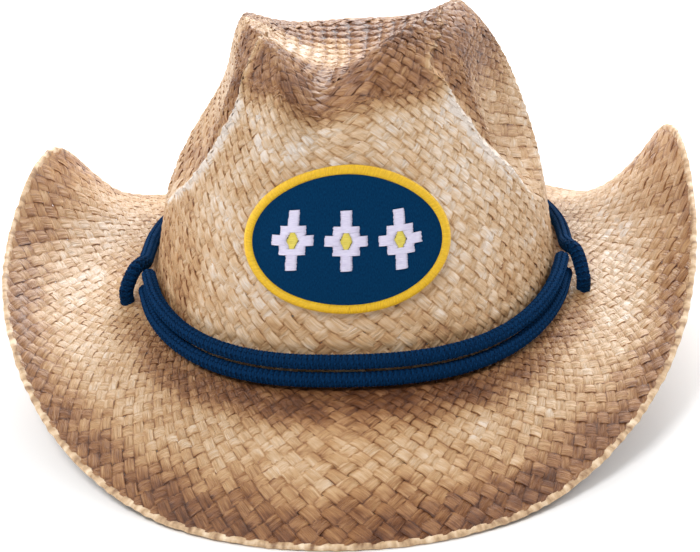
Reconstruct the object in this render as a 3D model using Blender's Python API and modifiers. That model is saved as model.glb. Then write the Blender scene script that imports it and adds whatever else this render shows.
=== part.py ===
"""Straw cowboy hat: a woven crown and brim in one shell, a hem, a braided cord band and an oval patch.

Metres, +Z up. The front of the hat faces -Y and its right side, seen from the front, is +X.
The origin is on the surface that the hat rests on, under the middle of its outline.
Angles go round the hat from the front: 0 is the front, 90 is +X, 180 is the back, -90 is -X.
"""
import math

import bmesh
import bpy
import numpy as np

# Crown: outer sizes where it meets the brim, and its top before it is creased
CROWN_WIDTH = 0.174
CROWN_LENGTH = 0.206
CROWN_TOP = 0.163
CROWN_ROUNDNESS = 2.4
CROWN_SQUARENESS = 2.9
CROWN_TAPER = 0.18
FRONT_JUNCTION = 0.031
SIDE_JUNCTION_RISE = 0.006
JUNCTION_FILLET = 0.0025
FILLET_RING = 0.8
CROWN_LEAN = 0.004

# Crease along the top of the crown
CREASE_DEPTH = 0.030
CREASE_WIDTH = 0.092
CREASE_SOFTNESS = 1.3

# Side dents of the crown
DENT_SOFTNESS = 1.4
DENT_DROP = 0.35

# Brim: outline seen from above, and the height of its edge above the resting surface
BRIM_WIDTH = 0.298
BRIM_LENGTH = 0.372
BRIM_ROUNDNESS = 2.1
EDGE_RISE = 0.070
SIDE_SAG = 0.004
SIDE_ROLL = 2.2
FRONT_ROLL = 1.4

# Straw wall and the hem round the brim
STRAW_WALL = 0.002
HEM_DIAMETER = 0.003
HEM_SIDES = 8
REST_WIDTH = 0.070

# Cord band
CORD_DIAMETER = 0.0068
CORD_STEP = 0.0085
LOOP_OUT = 0.0122
HOLE_CLEARANCE = 0.0006
CORD_BELOW_BRIM = 0.0075
KNOT_DIAMETER = 0.013

# Patch on the front of the crown
PATCH_WIDTH = 0.0845
PATCH_HEIGHT = 0.060
PATCH_CENTRE_HEIGHT = 0.058
PATCH_OFFSET = -0.0012
PATCH_SIDE_ANGLE = 75
PATCH_THICKNESS = 0.0012
PATCH_BORDER_WIDTH = 0.0034
PATCH_BORDER_THICKNESS = 0.0026
MOTIF_COUNT = 3
MOTIF_WIDTH = 0.017
MOTIF_HEIGHT = 0.024
MOTIF_PITCH = 0.0215
MOTIF_THICKNESS = 0.0009

CLEARANCE = 0.0003

# Facets
COLUMNS = 64
CROWN_RINGS = 19
BRIM_RINGS = 9
PATCH_COLUMNS = 40
KNOT_COLUMNS = 10
KNOT_RINGS = 6

# The brim's edge at each side, from the front to the back. Reach is a share of the plain outline,
# and lift is a share of EDGE_RISE.
EDGE_ROWS = (
    # angle, left reach, left lift, right reach, right lift
    (0.0, 1.00, 0.00, 1.00, 0.00),
    (22.5, 1.00, 0.03, 0.99, 0.04),
    (45.0, 1.00, 0.18, 0.98, 0.22),
    (67.5, 1.02, 0.48, 0.99, 0.52),
    (90.0, 1.02, 0.72, 0.99, 0.86),
    (112.5, 0.98, 0.95, 1.00, 1.00),
    (135.0, 1.00, 0.30, 1.00, 0.22),
    (157.5, 1.00, 0.02, 1.00, 0.03),
    (180.0, 1.00, 0.00, 1.00, 0.00),
)

# The crease along the crown. Along is a share of half the crown's length, from the front to the back, and
# depth is a share of CREASE_DEPTH. The middle, to the right of the hat's, and the two reaches beside it are
# shares of half of CREASE_WIDTH. The crease is V-shaped where the flatness is low.
CREASE_ROWS = (
    # along, depth, middle, left reach, right reach, flatness
    (-1.00, 0.00, -0.28, 0.34, 0.50, 1.3),
    (-0.80, 0.00, -0.28, 0.34, 0.50, 1.3),
    (-0.62, 0.30, -0.28, 0.34, 0.50, 1.3),
    (-0.42, 0.62, -0.27, 0.40, 0.60, 1.4),
    (-0.15, 0.92, -0.20, 0.72, 0.92, 2.0),
    (0.15, 1.00, -0.10, 0.95, 1.04, 2.6),
    (0.45, 0.72, -0.06, 1.00, 1.03, 3.0),
    (0.70, 0.40, -0.06, 1.00, 1.00, 3.0),
    (0.90, 0.10, -0.06, 1.00, 1.00, 3.0),
    (1.00, 0.00, -0.06, 1.00, 1.00, 3.0),
)

# The dents in the crown's sides. Lengths along are shares of half the crown's length, up is a share of
# the crown's height and depth is a share of half the crown's width.
DENT_ROWS = (
    # side, along, forward, backward, up, half height, depth
    (-1, -0.12, 0.32, 0.80, 0.60, 0.30, 0.15),
    (1, -0.18, 0.30, 0.45, 0.60, 0.30, 0.17),
)

# Where the cord band's front strands end and where the back strand goes down through the brim
SIDE_ROWS = (
    # side, angle of the front strands' ends, angle of the hole
    (-1, 77.5, 79.0),
    (1, 81.0, 80.0),
)


def table_value(rows, position, column):
    """One column of a table at a position, on a smooth curve through its rows."""
    places = np.array([row[0] for row in rows])
    values = np.array([row[column] for row in rows])
    slopes = np.gradient(values, places)
    position = np.clip(position, places[0], places[-1])
    index = np.clip(np.searchsorted(places, position, side="right") - 1, 0, len(places) - 2)
    step = places[index + 1] - places[index]
    share = (position - places[index]) / step
    start, end = values[index], values[index + 1]
    return (
        start * (1 + 2 * share) * (1 - share) ** 2
        + end * share ** 2 * (3 - 2 * share)
        + step * slopes[index] * share * (1 - share) ** 2
        - step * slopes[index + 1] * share ** 2 * (1 - share)
    )


def junction_height(angle):
    """Height of the line where the crown meets the brim, which bows up at the sides."""
    return FRONT_JUNCTION + SIDE_JUNCTION_RISE * np.sin(angle) ** 4


def crown_share(height):
    """Size of the crown's outline at a share of its height, as a share of its outline at the brim."""
    rounding = (1 - height ** CROWN_SQUARENESS) ** (1 / CROWN_SQUARENESS)
    return rounding * (1 - CROWN_TAPER * height)


def crease_depth(x, y):
    """How far the crease lowers the top of the crown."""
    along = y / (CROWN_LENGTH / 2)
    depth, middle, left, right, flatness = [table_value(CREASE_ROWS, along, column) for column in range(1, 6)]
    across = x / (CREASE_WIDTH / 2) - middle
    across = np.clip(np.abs(across) / np.where(across < 0, left, right), 0, 1)
    return CREASE_DEPTH * (1 - across ** flatness) ** CREASE_SOFTNESS * depth


def dent_depth(x, y, height):
    """How far the side dents push the crown's wall in, towards the middle."""
    depth = np.zeros_like(x)
    along = y / (CROWN_LENGTH / 2)
    for side, centre, forward, backward, up, half_height, deep in DENT_ROWS:
        reach = np.where(along < centre, forward, backward)
        square = ((along - centre) / reach) ** 2 + ((height - up) / half_height) ** 2
        bump = np.clip(1 - square, 0, 1) ** DENT_SOFTNESS
        depth = depth + np.where(x * side > 0, bump * deep * CROWN_WIDTH / 2, 0)
    return depth


def plan_normal(angle):
    """Level direction straight out of the crown's outline."""
    power = 2 - 2 / CROWN_ROUNDNESS
    x = np.sign(np.sin(angle)) * np.abs(np.sin(angle)) ** power / CROWN_WIDTH
    y = -np.sign(np.cos(angle)) * np.abs(np.cos(angle)) ** power / CROWN_LENGTH
    length = np.hypot(x, y)
    return np.stack([x / length, y / length, np.zeros_like(x)], axis=-1)


def crown_point(angle, height):
    """Outer surface of the crown at an angle and a share of its height."""
    angle, height = np.broadcast_arrays(np.asarray(angle, float), np.asarray(height, float))
    base = junction_height(angle)
    z = base + height * (CROWN_TOP - base)
    share = crown_share(height)
    power = 2 / CROWN_ROUNDNESS
    x = CROWN_WIDTH / 2 * share * np.sign(np.sin(angle)) * np.abs(np.sin(angle)) ** power
    y = -CROWN_LENGTH / 2 * share * np.sign(np.cos(angle)) * np.abs(np.cos(angle)) ** power
    flare = JUNCTION_FILLET * np.exp(-(z - base) / JUNCTION_FILLET)
    dent = dent_depth(x, y, height)
    z = z - crease_depth(x, y) - dent * DENT_DROP
    x = x - np.sign(x) * dent + CROWN_LEAN * height
    return np.stack([x, y, z], axis=-1) + plan_normal(angle) * flare[..., None]


def outline_point(angle):
    """The brim's outline on the resting surface, without its reach from the table."""
    power = 2 / BRIM_ROUNDNESS
    x = BRIM_WIDTH / 2 * np.sign(np.sin(angle)) * np.abs(np.sin(angle)) ** power
    y = -BRIM_LENGTH / 2 * np.sign(np.cos(angle)) * np.abs(np.cos(angle)) ** power
    return x, y


def hem_point(angle):
    """Middle of the hem, which follows the brim's edge and lies level where the hat rests."""
    degrees = np.degrees(np.abs(angle))
    rest = math.degrees(math.asin((REST_WIDTH / BRIM_WIDTH) ** (BRIM_ROUNDNESS / 2)))
    from_end = 90 - np.abs(90 - degrees)
    eased = 90 * np.clip((from_end - rest) / (90 - rest), 0, 1)
    place = np.where(degrees < 90, eased, 180 - eased)
    right = np.sin(angle) >= 0
    reach = np.where(right, table_value(EDGE_ROWS, degrees, 3), table_value(EDGE_ROWS, degrees, 1))
    lift = np.where(right, table_value(EDGE_ROWS, place, 4), table_value(EDGE_ROWS, place, 2))
    x, y = outline_point(angle)
    inset = 1 - HEM_DIAMETER / (2 * np.hypot(x, y))
    z = np.maximum(lift, 0) * EDGE_RISE + HEM_DIAMETER / 2 * math.cos(math.pi / HEM_SIDES)
    return np.stack([x * reach * inset, y * reach * inset, z], axis=-1)


def brim_roll(angle):
    """How sharply the brim turns up, or down at the front and back, towards its edge."""
    return FRONT_ROLL + (SIDE_ROLL - FRONT_ROLL) * np.sin(angle) ** 2


def hem_direction(angle):
    """Direction along the hem, to the right at the front."""
    step = math.radians(0.5)
    along = hem_point(angle + step) - hem_point(angle - step)
    return along / np.linalg.norm(along, axis=-1, keepdims=True)


def brim_edge_point(angle):
    """End of the brim's upper surface, against the hem."""
    hem = hem_point(angle)
    root = crown_point(angle, np.zeros_like(angle))
    run = np.hypot(hem[..., 0] - root[..., 0], hem[..., 1] - root[..., 1])
    rise = hem[..., 2] - root[..., 2]
    outward = (hem - root) / run[..., None]
    outward[..., 2] = brim_roll(angle) * rise / run
    along = hem_direction(angle)
    outward = outward - along * np.sum(outward * along, axis=-1, keepdims=True)
    outward = outward / np.linalg.norm(outward, axis=-1, keepdims=True)
    above = np.cross(outward, along)
    return hem - outward * (HEM_DIAMETER / 2 + 2 * CLEARANCE) + above * STRAW_WALL / 2


def brim_point(angle, share):
    """Upper surface of the brim at an angle and a share of the way from the crown to the edge."""
    angle, share = np.broadcast_arrays(np.asarray(angle, float), np.asarray(share, float))
    root = crown_point(angle, np.zeros_like(angle))
    edge = brim_edge_point(angle)
    point = root + (edge - root) * share[..., None]
    point[..., 2] = root[..., 2] + (edge[..., 2] - root[..., 2]) * share ** brim_roll(angle)
    point[..., 2] -= SIDE_SAG * np.sin(angle) ** 2 * np.sin(np.pi * share)
    return point


def crown_normal(angle, height, step=0.002):
    """Outward direction of the crown's surface."""
    around = crown_point(angle + step, height) - crown_point(angle - step, height)
    upward = crown_point(angle, height + step) - crown_point(angle, height - step)
    normal = np.cross(around, upward)
    return normal / np.linalg.norm(normal, axis=-1, keepdims=True)


def crown_height(rings):
    """Shares of the crown's height, from the middle of its top down to the brim, evenly spaced along it."""
    turn = np.linspace(0, math.pi / 2, 400)
    power = 2 / CROWN_SQUARENESS
    height = np.cos(turn) ** power
    half = (CROWN_WIDTH + CROWN_LENGTH) / 4
    across = np.array([crown_share(value) for value in height]) * half
    steps = np.hypot(np.diff(across), np.diff(height) * CROWN_TOP)
    length = np.concatenate([[0], np.cumsum(steps)])
    spaced = np.interp(np.linspace(0, length[-1], rings), length, height)
    return np.append(spaced[:-1], [FILLET_RING * JUNCTION_FILLET / CROWN_TOP, 0])


def brim_share(angle, ring):
    """Share of the brim at one of its rings. The first two rings frame the cord's holes."""
    run = np.linalg.norm((brim_edge_point(angle) - crown_point(angle, np.zeros_like(angle)))[..., :2], axis=-1)
    middle = (LOOP_OUT - JUNCTION_FILLET) / run
    half = (CORD_DIAMETER / 2 + HOLE_CLEARANCE) / run
    if ring == 1:
        return middle - half
    if ring == 2:
        return middle + half
    return middle + half + (1 - middle - half) * (ring - 2) / (BRIM_RINGS - 2)


def hole_half_angle(angle):
    """Half the angle that a hole for the cord takes up in the brim."""
    share = (brim_share(angle, 1) + brim_share(angle, 2)) / 2
    step = math.radians(1)
    speed = np.linalg.norm(brim_point(angle + step, share) - brim_point(angle - step, share)) / (2 * step)
    return (CORD_DIAMETER / 2 + HOLE_CLEARANCE) / speed


def column_angles():
    """Angles of the body's columns of faces, with a column of each hole's own width, and the holes' columns."""
    even = np.radians(np.arange(COLUMNS) * 360 / COLUMNS - 180)
    sides = []
    for side, _, hole_angle in SIDE_ROWS:
        middle = np.float64(side * math.radians(hole_angle))
        half = hole_half_angle(middle)
        sides += [middle - half, middle + half]
    spacing = math.radians(360 / COLUMNS)
    kept = [value for value in even if min(abs(value - side) for side in sides) > spacing * 0.55]
    angles = np.array(sorted(kept + sides))
    holes = [int(np.searchsorted(angles, side)) for side in (sides[0], sides[2])]
    return angles, holes


def make_material(name, colour, roughness):
    """A plain finish for one piece."""
    material = bpy.data.materials.new(name)
    material.use_nodes = True
    shader = material.node_tree.nodes["Principled BSDF"]
    shader.inputs["Base Color"].default_value = (*colour, 1)
    shader.inputs["Roughness"].default_value = roughness
    material.diffuse_color = (*colour, 1)
    return material


def add_piece(name, mesh, material):
    """One smooth-shaded object in the hat's collection."""
    mesh.shade_smooth()
    mesh.materials.append(material)
    piece = bpy.data.objects.new(name, mesh)
    bpy.data.collections["straw_cowboy_hat"].objects.link(piece)
    return piece


def surface_mesh(name, rows, closed_top=False, left_out=()):
    """A sheet of quads through rows of points that close round, with a point or an opening in its middle."""
    mesh = bmesh.new()
    grid = [[mesh.verts.new(point) for point in row] for row in rows]
    count = len(rows[0])
    if closed_top:
        middle = mesh.verts.new(closed_top)
        for column in range(count):
            mesh.faces.new((middle, grid[0][column], grid[0][(column + 1) % count]))
    for row in range(len(rows) - 1):
        for column in range(count):
            if (row, column) in left_out:
                continue
            after = (column + 1) % count
            mesh.faces.new((grid[row][column], grid[row + 1][column], grid[row + 1][after], grid[row][after]))
    sheet = bpy.data.meshes.new(name)
    mesh.to_mesh(sheet)
    mesh.free()
    return sheet


def add_wall(piece, thickness):
    """Gives a sheet its thickness, on the side away from its normals."""
    wall = piece.modifiers.new("wall", "SOLIDIFY")
    wall.thickness = thickness
    wall.offset = -1
    wall.use_even_offset = True


def add_woven_body(material):
    """Crown and brim in one woven sheet, with the two holes that the cord goes down through."""
    angles, hole_columns = column_angles()
    heights = crown_height(CROWN_RINGS)
    rows = [crown_point(angles, np.full_like(angles, height)) for height in heights[1:]]
    rows += [brim_point(angles, brim_share(angles, ring)) for ring in range(1, BRIM_RINGS + 1)]
    left_out = {(CROWN_RINGS, column) for column in hole_columns}
    middle = tuple(crown_point(0.0, 1.0))
    sheet = surface_mesh("woven_body", rows, closed_top=middle, left_out=left_out)
    add_wall(add_piece("woven_body", sheet, material), STRAW_WALL)


def ring_mesh(name, sections):
    """A closed ring through sections of points, each section closed as well."""
    mesh = bmesh.new()
    rings = [[mesh.verts.new(point) for point in section] for section in sections]
    count = len(rings)
    for index in range(count):
        ring, after = rings[index], rings[(index + 1) % count]
        for side in range(len(ring)):
            next_side = (side + 1) % len(ring)
            mesh.faces.new((ring[side], after[side], after[next_side], ring[next_side]))
    bmesh.ops.recalc_face_normals(mesh, faces=mesh.faces)
    closed = bpy.data.meshes.new(name)
    mesh.to_mesh(closed)
    mesh.free()
    return closed


def add_brim_edge(material):
    """The turned hem round the brim, whose flat underside carries the hat at the front and the back."""
    angles, _ = column_angles()
    sections = []
    for angle in angles:
        middle = hem_point(angle)
        along = hem_direction(angle)
        out = np.array([-along[1], along[0], 0]) / np.hypot(along[0], along[1])
        turns = (np.arange(HEM_SIDES) + 0.5) * 2 * math.pi / HEM_SIDES
        section = [middle + HEM_DIAMETER / 2 * (out * math.cos(turn) + np.array([0, 0, math.sin(turn)]))
                   for turn in turns]
        sections.append(section)
    add_piece("brim_edge", ring_mesh("brim_edge", sections), material)


def wall_offset(height):
    """How far out from the crown a cord's middle lies at a height above the brim, clear of the fillet."""
    reach = CORD_DIAMETER / 2 + 2 * CLEARANCE
    samples = np.linspace(max(0, height - reach), height + reach, 60)
    rings = crown_height(CROWN_RINGS)[::-1] * (CROWN_TOP - FRONT_JUNCTION)
    flare = np.interp(samples, rings, JUNCTION_FILLET * np.exp(-rings / JUNCTION_FILLET))
    return float(np.max(flare + np.sqrt(np.maximum(0, reach ** 2 - (height - samples) ** 2))))


def band_point(angle, out, height):
    """A point outside the crown, by its distance from the crown's wall and its height above the brim."""
    base = junction_height(angle)
    share = height / (CROWN_TOP - base)
    wall = crown_point(angle, np.maximum(share, 0))
    flare = JUNCTION_FILLET * math.exp(-max(height, 0) / JUNCTION_FILLET)
    point = wall + plan_normal(angle) * (out - flare)
    point[..., 2] = base + height
    return point


def smooth_route(points, spacing):
    """Evenly spaced points on a smooth curve through a route's own points."""
    points = np.array(points)
    padded = np.concatenate([[2 * points[0] - points[1]], points, [2 * points[-1] - points[-2]]])
    curve = []
    for before, start, end, after in zip(padded, padded[1:], padded[2:], padded[3:]):
        for share in np.linspace(0, 1, 24, endpoint=False):
            curve.append(0.5 * (2 * start + (end - before) * share
                                + (2 * before - 5 * start + 4 * end - after) * share ** 2
                                + (3 * start - before - 3 * end + after) * share ** 3))
    curve = np.array(curve + [points[-1]])
    steps = np.linalg.norm(np.diff(curve, axis=0), axis=1)
    length = np.concatenate([[0], np.cumsum(steps)])
    places = np.linspace(0, length[-1], max(2, round(length[-1] / spacing)) + 1)
    return np.stack([np.interp(places, length, curve[:, axis]) for axis in range(3)], axis=1)


def add_cord(name, points, material):
    """A round cord with closed ends along a list of points."""
    curve = bpy.data.curves.new(name, "CURVE")
    curve.dimensions = "3D"
    curve.bevel_depth = CORD_DIAMETER / 2
    curve.bevel_resolution = 2
    curve.use_fill_caps = True
    spline = curve.splines.new("POLY")
    spline.points.add(len(points) - 1)
    for point, place in zip(spline.points, points):
        point.co = (*place, 1)
    curve.materials.append(material)
    cord = bpy.data.objects.new(name, curve)
    bpy.data.collections["straw_cowboy_hat"].objects.link(cord)


def front_cord_points(height):
    """Route of one of the two strands that cross the front of the crown, side by side."""
    out = wall_offset(height)
    ends = [side * math.radians(end_angle) for side, end_angle, _ in SIDE_ROWS]
    angles = np.linspace(*ends, 15)
    return smooth_route([band_point(angle, out, height) for angle in angles], CORD_STEP)


def hole_point(angle):
    """Middle of a hole for the cord, on the brim's upper surface."""
    return brim_point(angle, (brim_share(angle, 1) + brim_share(angle, 2)) / 2)


def side_points(side, end_angle, hole_angle):
    """Route of the back strand at one side: up through the brim and round the front strands' ends."""
    low = CORD_DIAMETER / 2 + CLEARANCE
    high = 1.5 * CORD_DIAMETER + 2 * CLEARANCE
    near = wall_offset(low)
    hole = hole_point(np.float64(side * math.radians(hole_angle)))
    arch = (
        # angle past the front strands' ends, distance out of the crown's wall, height above the brim
        (2.2, LOOP_OUT * 0.82, high + CLEARANCE),
        (4.6, LOOP_OUT * 0.54, high + 3 * CLEARANCE),
        (9, near + CLEARANCE, high * 0.72),
        (14, near, low + 4 * CLEARANCE),
        (22, near, low + CLEARANCE),
    )
    points = [hole + np.array([0, 0, height]) for height in (-CORD_BELOW_BRIM, 0, high / 2)]
    points += [band_point(side * math.radians(end_angle + past), out, height) for past, out, height in arch]
    return points


def back_cord_points():
    """Route of the strand round the back, from the hole in one side of the brim to the other's."""
    low = CORD_DIAMETER / 2 + CLEARANCE
    left, right = SIDE_ROWS
    angles = np.radians(np.linspace(right[1] + 32, 360 - left[1] - 32, 15))
    back = [band_point(angle, wall_offset(low), low) for angle in angles]
    return smooth_route(side_points(*right) + back + side_points(*left)[::-1], CORD_STEP)


def add_cords(material):
    """The cord band: two strands across the front, one round the back, and a knot under each hole."""
    low = CORD_DIAMETER / 2 + CLEARANCE
    add_cord("front_cord_lower", front_cord_points(low), material)
    add_cord("front_cord_upper", front_cord_points(low + CORD_DIAMETER + CLEARANCE), material)
    route = back_cord_points()
    add_cord("back_cord", route, material)
    for name, end in (("knot_right", route[0]), ("knot_left", route[-1])):
        mesh = bmesh.new()
        bmesh.ops.create_uvsphere(
            mesh, u_segments=KNOT_COLUMNS, v_segments=KNOT_RINGS, radius=KNOT_DIAMETER / 2)
        bmesh.ops.translate(mesh, verts=mesh.verts, vec=end - np.array([0, 0, KNOT_DIAMETER / 2 + CLEARANCE]))
        knot = bpy.data.meshes.new(name)
        mesh.to_mesh(knot)
        mesh.free()
        add_piece(name, knot, material)


def patch_point(across, upward, lift):
    """A point over the front of the crown, by its place on the patch laid flat and its height off the straw."""
    centre_height = PATCH_CENTRE_HEIGHT / (CROWN_TOP - FRONT_JUNCTION)
    step = 0.01
    rising = crown_point(0, centre_height + step) - crown_point(0, centre_height - step)
    height = centre_height + np.asarray(upward) * 2 * step / np.linalg.norm(rising)
    angles = np.radians(np.linspace(-PATCH_SIDE_ANGLE, PATCH_SIDE_ANGLE, 301))
    outline = crown_point(angles, centre_height)
    steps = np.linalg.norm(np.diff(outline, axis=0), axis=1)
    length = np.concatenate([[0], np.cumsum(steps)])
    angle = np.interp(across + PATCH_OFFSET + np.interp(0, angles, length), length, angles)
    return crown_point(angle, height) + crown_normal(angle, height) * np.asarray(lift)[..., None]


def add_patch(ground, border):
    """An oval patch: a twill ground inside a raised border."""
    turns = np.linspace(0, 2 * math.pi, PATCH_COLUMNS, endpoint=False)
    inner_width = PATCH_WIDTH / 2 - PATCH_BORDER_WIDTH - CLEARANCE
    inner_height = PATCH_HEIGHT / 2 - PATCH_BORDER_WIDTH - CLEARANCE
    top = CLEARANCE + PATCH_THICKNESS
    rows = [patch_point(share * inner_width * np.cos(turns), share * inner_height * np.sin(turns),
                        np.full_like(turns, top)) for share in (0.25, 0.5, 0.75, 1)]
    middle = tuple(patch_point(0.0, 0.0, top))
    sheet = surface_mesh("patch_ground", rows, closed_top=middle)
    add_wall(add_piece("patch_ground", sheet, ground), PATCH_THICKNESS)
    section = (
        # share of the border's width from its middle, share of its thickness
        (-0.5, 0.0), (0.5, 0.0), (0.5, 0.55), (0.28, 1.0), (-0.28, 1.0), (-0.5, 0.55),
    )
    sections = []
    for turn in turns:
        ring = []
        for across, thick in section:
            inset = PATCH_BORDER_WIDTH * (0.5 - across)
            place = ((PATCH_WIDTH / 2 - inset) * math.cos(turn), (PATCH_HEIGHT / 2 - inset) * math.sin(turn))
            ring.append(patch_point(*place, CLEARANCE + thick * PATCH_BORDER_THICKNESS))
        sections.append(ring)
    add_piece("patch_border", ring_mesh("patch_border", sections), border)


def add_motifs(material):
    """A row of raised, stepped diamonds on the patch, each a flat plate that rests where the patch bulges."""
    steps = ((1.0, 0.0), (1.0, 0.16), (0.62, 0.16), (0.62, 0.5), (0.26, 0.5), (0.26, 1.0), (0.0, 1.0))
    quarter = [(x * MOTIF_WIDTH / 2, y * MOTIF_HEIGHT / 2) for x, y in steps]
    outline = quarter + [(-x, y) for x, y in quarter[-2::-1]]
    outline += [(x, -y) for x, y in outline[-2:0:-1]]
    lift = 2 * CLEARANCE + PATCH_THICKNESS
    for index in range(MOTIF_COUNT):
        centre = (index - (MOTIF_COUNT - 1) / 2) * MOTIF_PITCH
        middle, left, right, low, high = (
            patch_point(centre + x * MOTIF_WIDTH / 2, y * MOTIF_HEIGHT / 2, lift)
            for x, y in ((0.0, 0.0), (-1, 0.0), (1, 0.0), (0.0, -1), (0.0, 1)))
        across = (right - left) / np.linalg.norm(right - left)
        out = np.cross(across, high - low)
        out = out / np.linalg.norm(out)
        upward = np.cross(out, across)
        bulge = max(float(out @ (point - middle)) for point in (middle, left, right, low, high))
        mesh = bmesh.new()
        corners = [middle + out * (bulge + thick) + across * x + upward * y
                   for thick in (0, MOTIF_THICKNESS) for x, y in outline]
        corners = [mesh.verts.new(corner) for corner in corners]
        count = len(outline)
        mesh.faces.new(corners[:count][::-1])
        mesh.faces.new(corners[count:])
        for corner in range(count):
            after = (corner + 1) % count
            mesh.faces.new((corners[corner], corners[after], corners[count + after], corners[count + corner]))
        name = f"patch_motif_{index + 1}"
        plate = bpy.data.meshes.new(name)
        mesh.to_mesh(plate)
        mesh.free()
        add_piece(name, plate, material)


def centre_on_outline():
    """Moves every piece so that the origin lies under the middle of the hat's outline."""
    outline = hem_point(column_angles()[0])
    middle = (outline.min(axis=0) + outline.max(axis=0)) / 2
    for piece in bpy.data.collections["straw_cowboy_hat"].objects:
        piece.location = (-middle[0], -middle[1], 0)


def main():
    for thing in list(bpy.data.objects):
        bpy.data.objects.remove(thing, do_unlink=True)
    collection = bpy.data.collections.new("straw_cowboy_hat")
    bpy.context.scene.collection.children.link(collection)
    straw = make_material("woven_straw", (0.56, 0.38, 0.24), 0.5)
    hem = make_material("straw_hem", (0.62, 0.50, 0.36), 0.55)
    cord = make_material("navy_cord", (0.006, 0.03, 0.10), 0.8)
    twill = make_material("navy_twill", (0.003, 0.035, 0.10), 0.8)
    thread = make_material("yellow_thread", (0.85, 0.53, 0.02), 0.6)
    pale = make_material("pale_thread", (0.66, 0.62, 0.80), 0.6)
    add_woven_body(straw)
    add_brim_edge(hem)
    add_cords(cord)
    add_patch(twill, thread)
    add_motifs(pale)
    centre_on_outline()


main()
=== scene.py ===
"""Dresses the straw cowboy hat: plaited straw strips, a turned hem, braided cords and a stitched patch.

Metres, +Z up, in the CAD's frame. Angles go round the hat from its front: 0 is -Y and 90 degrees is +X.
"""
import math

import bmesh
import bpy
import numpy as np
from mathutils import Matrix, Vector


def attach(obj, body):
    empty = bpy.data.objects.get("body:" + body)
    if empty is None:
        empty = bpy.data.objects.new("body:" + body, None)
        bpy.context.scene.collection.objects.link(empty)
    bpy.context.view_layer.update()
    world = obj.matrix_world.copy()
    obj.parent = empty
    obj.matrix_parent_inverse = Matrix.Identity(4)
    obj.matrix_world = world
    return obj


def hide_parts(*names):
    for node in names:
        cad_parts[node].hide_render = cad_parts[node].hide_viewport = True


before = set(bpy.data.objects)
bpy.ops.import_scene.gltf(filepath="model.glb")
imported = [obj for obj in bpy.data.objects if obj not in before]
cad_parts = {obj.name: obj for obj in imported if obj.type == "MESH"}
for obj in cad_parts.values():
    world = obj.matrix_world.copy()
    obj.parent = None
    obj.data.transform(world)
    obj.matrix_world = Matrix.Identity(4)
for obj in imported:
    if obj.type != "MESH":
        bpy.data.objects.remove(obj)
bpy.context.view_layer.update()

# Crown, brim and wall, as in the part's source
CROWN_WIDTH = 0.174
CROWN_LENGTH = 0.206
CROWN_TOP = 0.163
CROWN_ROUNDNESS = 2.4
CROWN_SQUARENESS = 2.9
CROWN_TAPER = 0.18
FRONT_JUNCTION = 0.031
SIDE_JUNCTION_RISE = 0.006
JUNCTION_FILLET = 0.0025
CROWN_LEAN = 0.004
CREASE_DEPTH = 0.030
CREASE_WIDTH = 0.092
CREASE_SOFTNESS = 1.3
DENT_SOFTNESS = 1.4
DENT_DROP = 0.35
BRIM_WIDTH = 0.298
BRIM_LENGTH = 0.372
BRIM_ROUNDNESS = 2.1
EDGE_RISE = 0.070
SIDE_SAG = 0.004
SIDE_ROLL = 2.2
FRONT_ROLL = 1.4
STRAW_WALL = 0.002
HEM_DIAMETER = 0.003
HEM_SIDES = 8
REST_WIDTH = 0.070

# Cord band and patch, as in the part's source
CORD_DIAMETER = 0.0068
LOOP_OUT = 0.0122
CORD_BELOW_BRIM = 0.0075
KNOT_DIAMETER = 0.013
PATCH_WIDTH = 0.0845
PATCH_HEIGHT = 0.060
PATCH_CENTRE_HEIGHT = 0.058
PATCH_OFFSET = -0.0012
PATCH_SIDE_ANGLE = 75
PATCH_THICKNESS = 0.0012
PATCH_BORDER_WIDTH = 0.0034
PATCH_BORDER_THICKNESS = 0.0026
MOTIF_COUNT = 3
MOTIF_WIDTH = 0.017
MOTIF_HEIGHT = 0.024
MOTIF_PITCH = 0.0215
CLEARANCE = 0.0003

EDGE_ROWS = (
    # angle, left reach, left lift, right reach, right lift
    (0.0, 1.00, 0.00, 1.00, 0.00),
    (22.5, 1.00, 0.03, 0.99, 0.04),
    (45.0, 1.00, 0.18, 0.98, 0.22),
    (67.5, 1.02, 0.48, 0.99, 0.52),
    (90.0, 1.02, 0.72, 0.99, 0.86),
    (112.5, 0.98, 0.95, 1.00, 1.00),
    (135.0, 1.00, 0.30, 1.00, 0.22),
    (157.5, 1.00, 0.02, 1.00, 0.03),
    (180.0, 1.00, 0.00, 1.00, 0.00),
)
CREASE_ROWS = (
    # along, depth, middle, left reach, right reach, flatness
    (-1.00, 0.00, -0.28, 0.34, 0.50, 1.3),
    (-0.80, 0.00, -0.28, 0.34, 0.50, 1.3),
    (-0.62, 0.30, -0.28, 0.34, 0.50, 1.3),
    (-0.42, 0.62, -0.27, 0.40, 0.60, 1.4),
    (-0.15, 0.92, -0.20, 0.72, 0.92, 2.0),
    (0.15, 1.00, -0.10, 0.95, 1.04, 2.6),
    (0.45, 0.72, -0.06, 1.00, 1.03, 3.0),
    (0.70, 0.40, -0.06, 1.00, 1.00, 3.0),
    (0.90, 0.10, -0.06, 1.00, 1.00, 3.0),
    (1.00, 0.00, -0.06, 1.00, 1.00, 3.0),
)
DENT_ROWS = (
    # side, along, forward, backward, up, half height, depth
    (-1, -0.12, 0.32, 0.80, 0.60, 0.30, 0.15),
    (1, -0.18, 0.30, 0.45, 0.60, 0.30, 0.17),
)
SIDE_ROWS = (
    # side, angle of the front strands' ends, angle of the hole
    (-1, 77.5, 79.0),
    (1, 81.0, 80.0),
)

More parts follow.
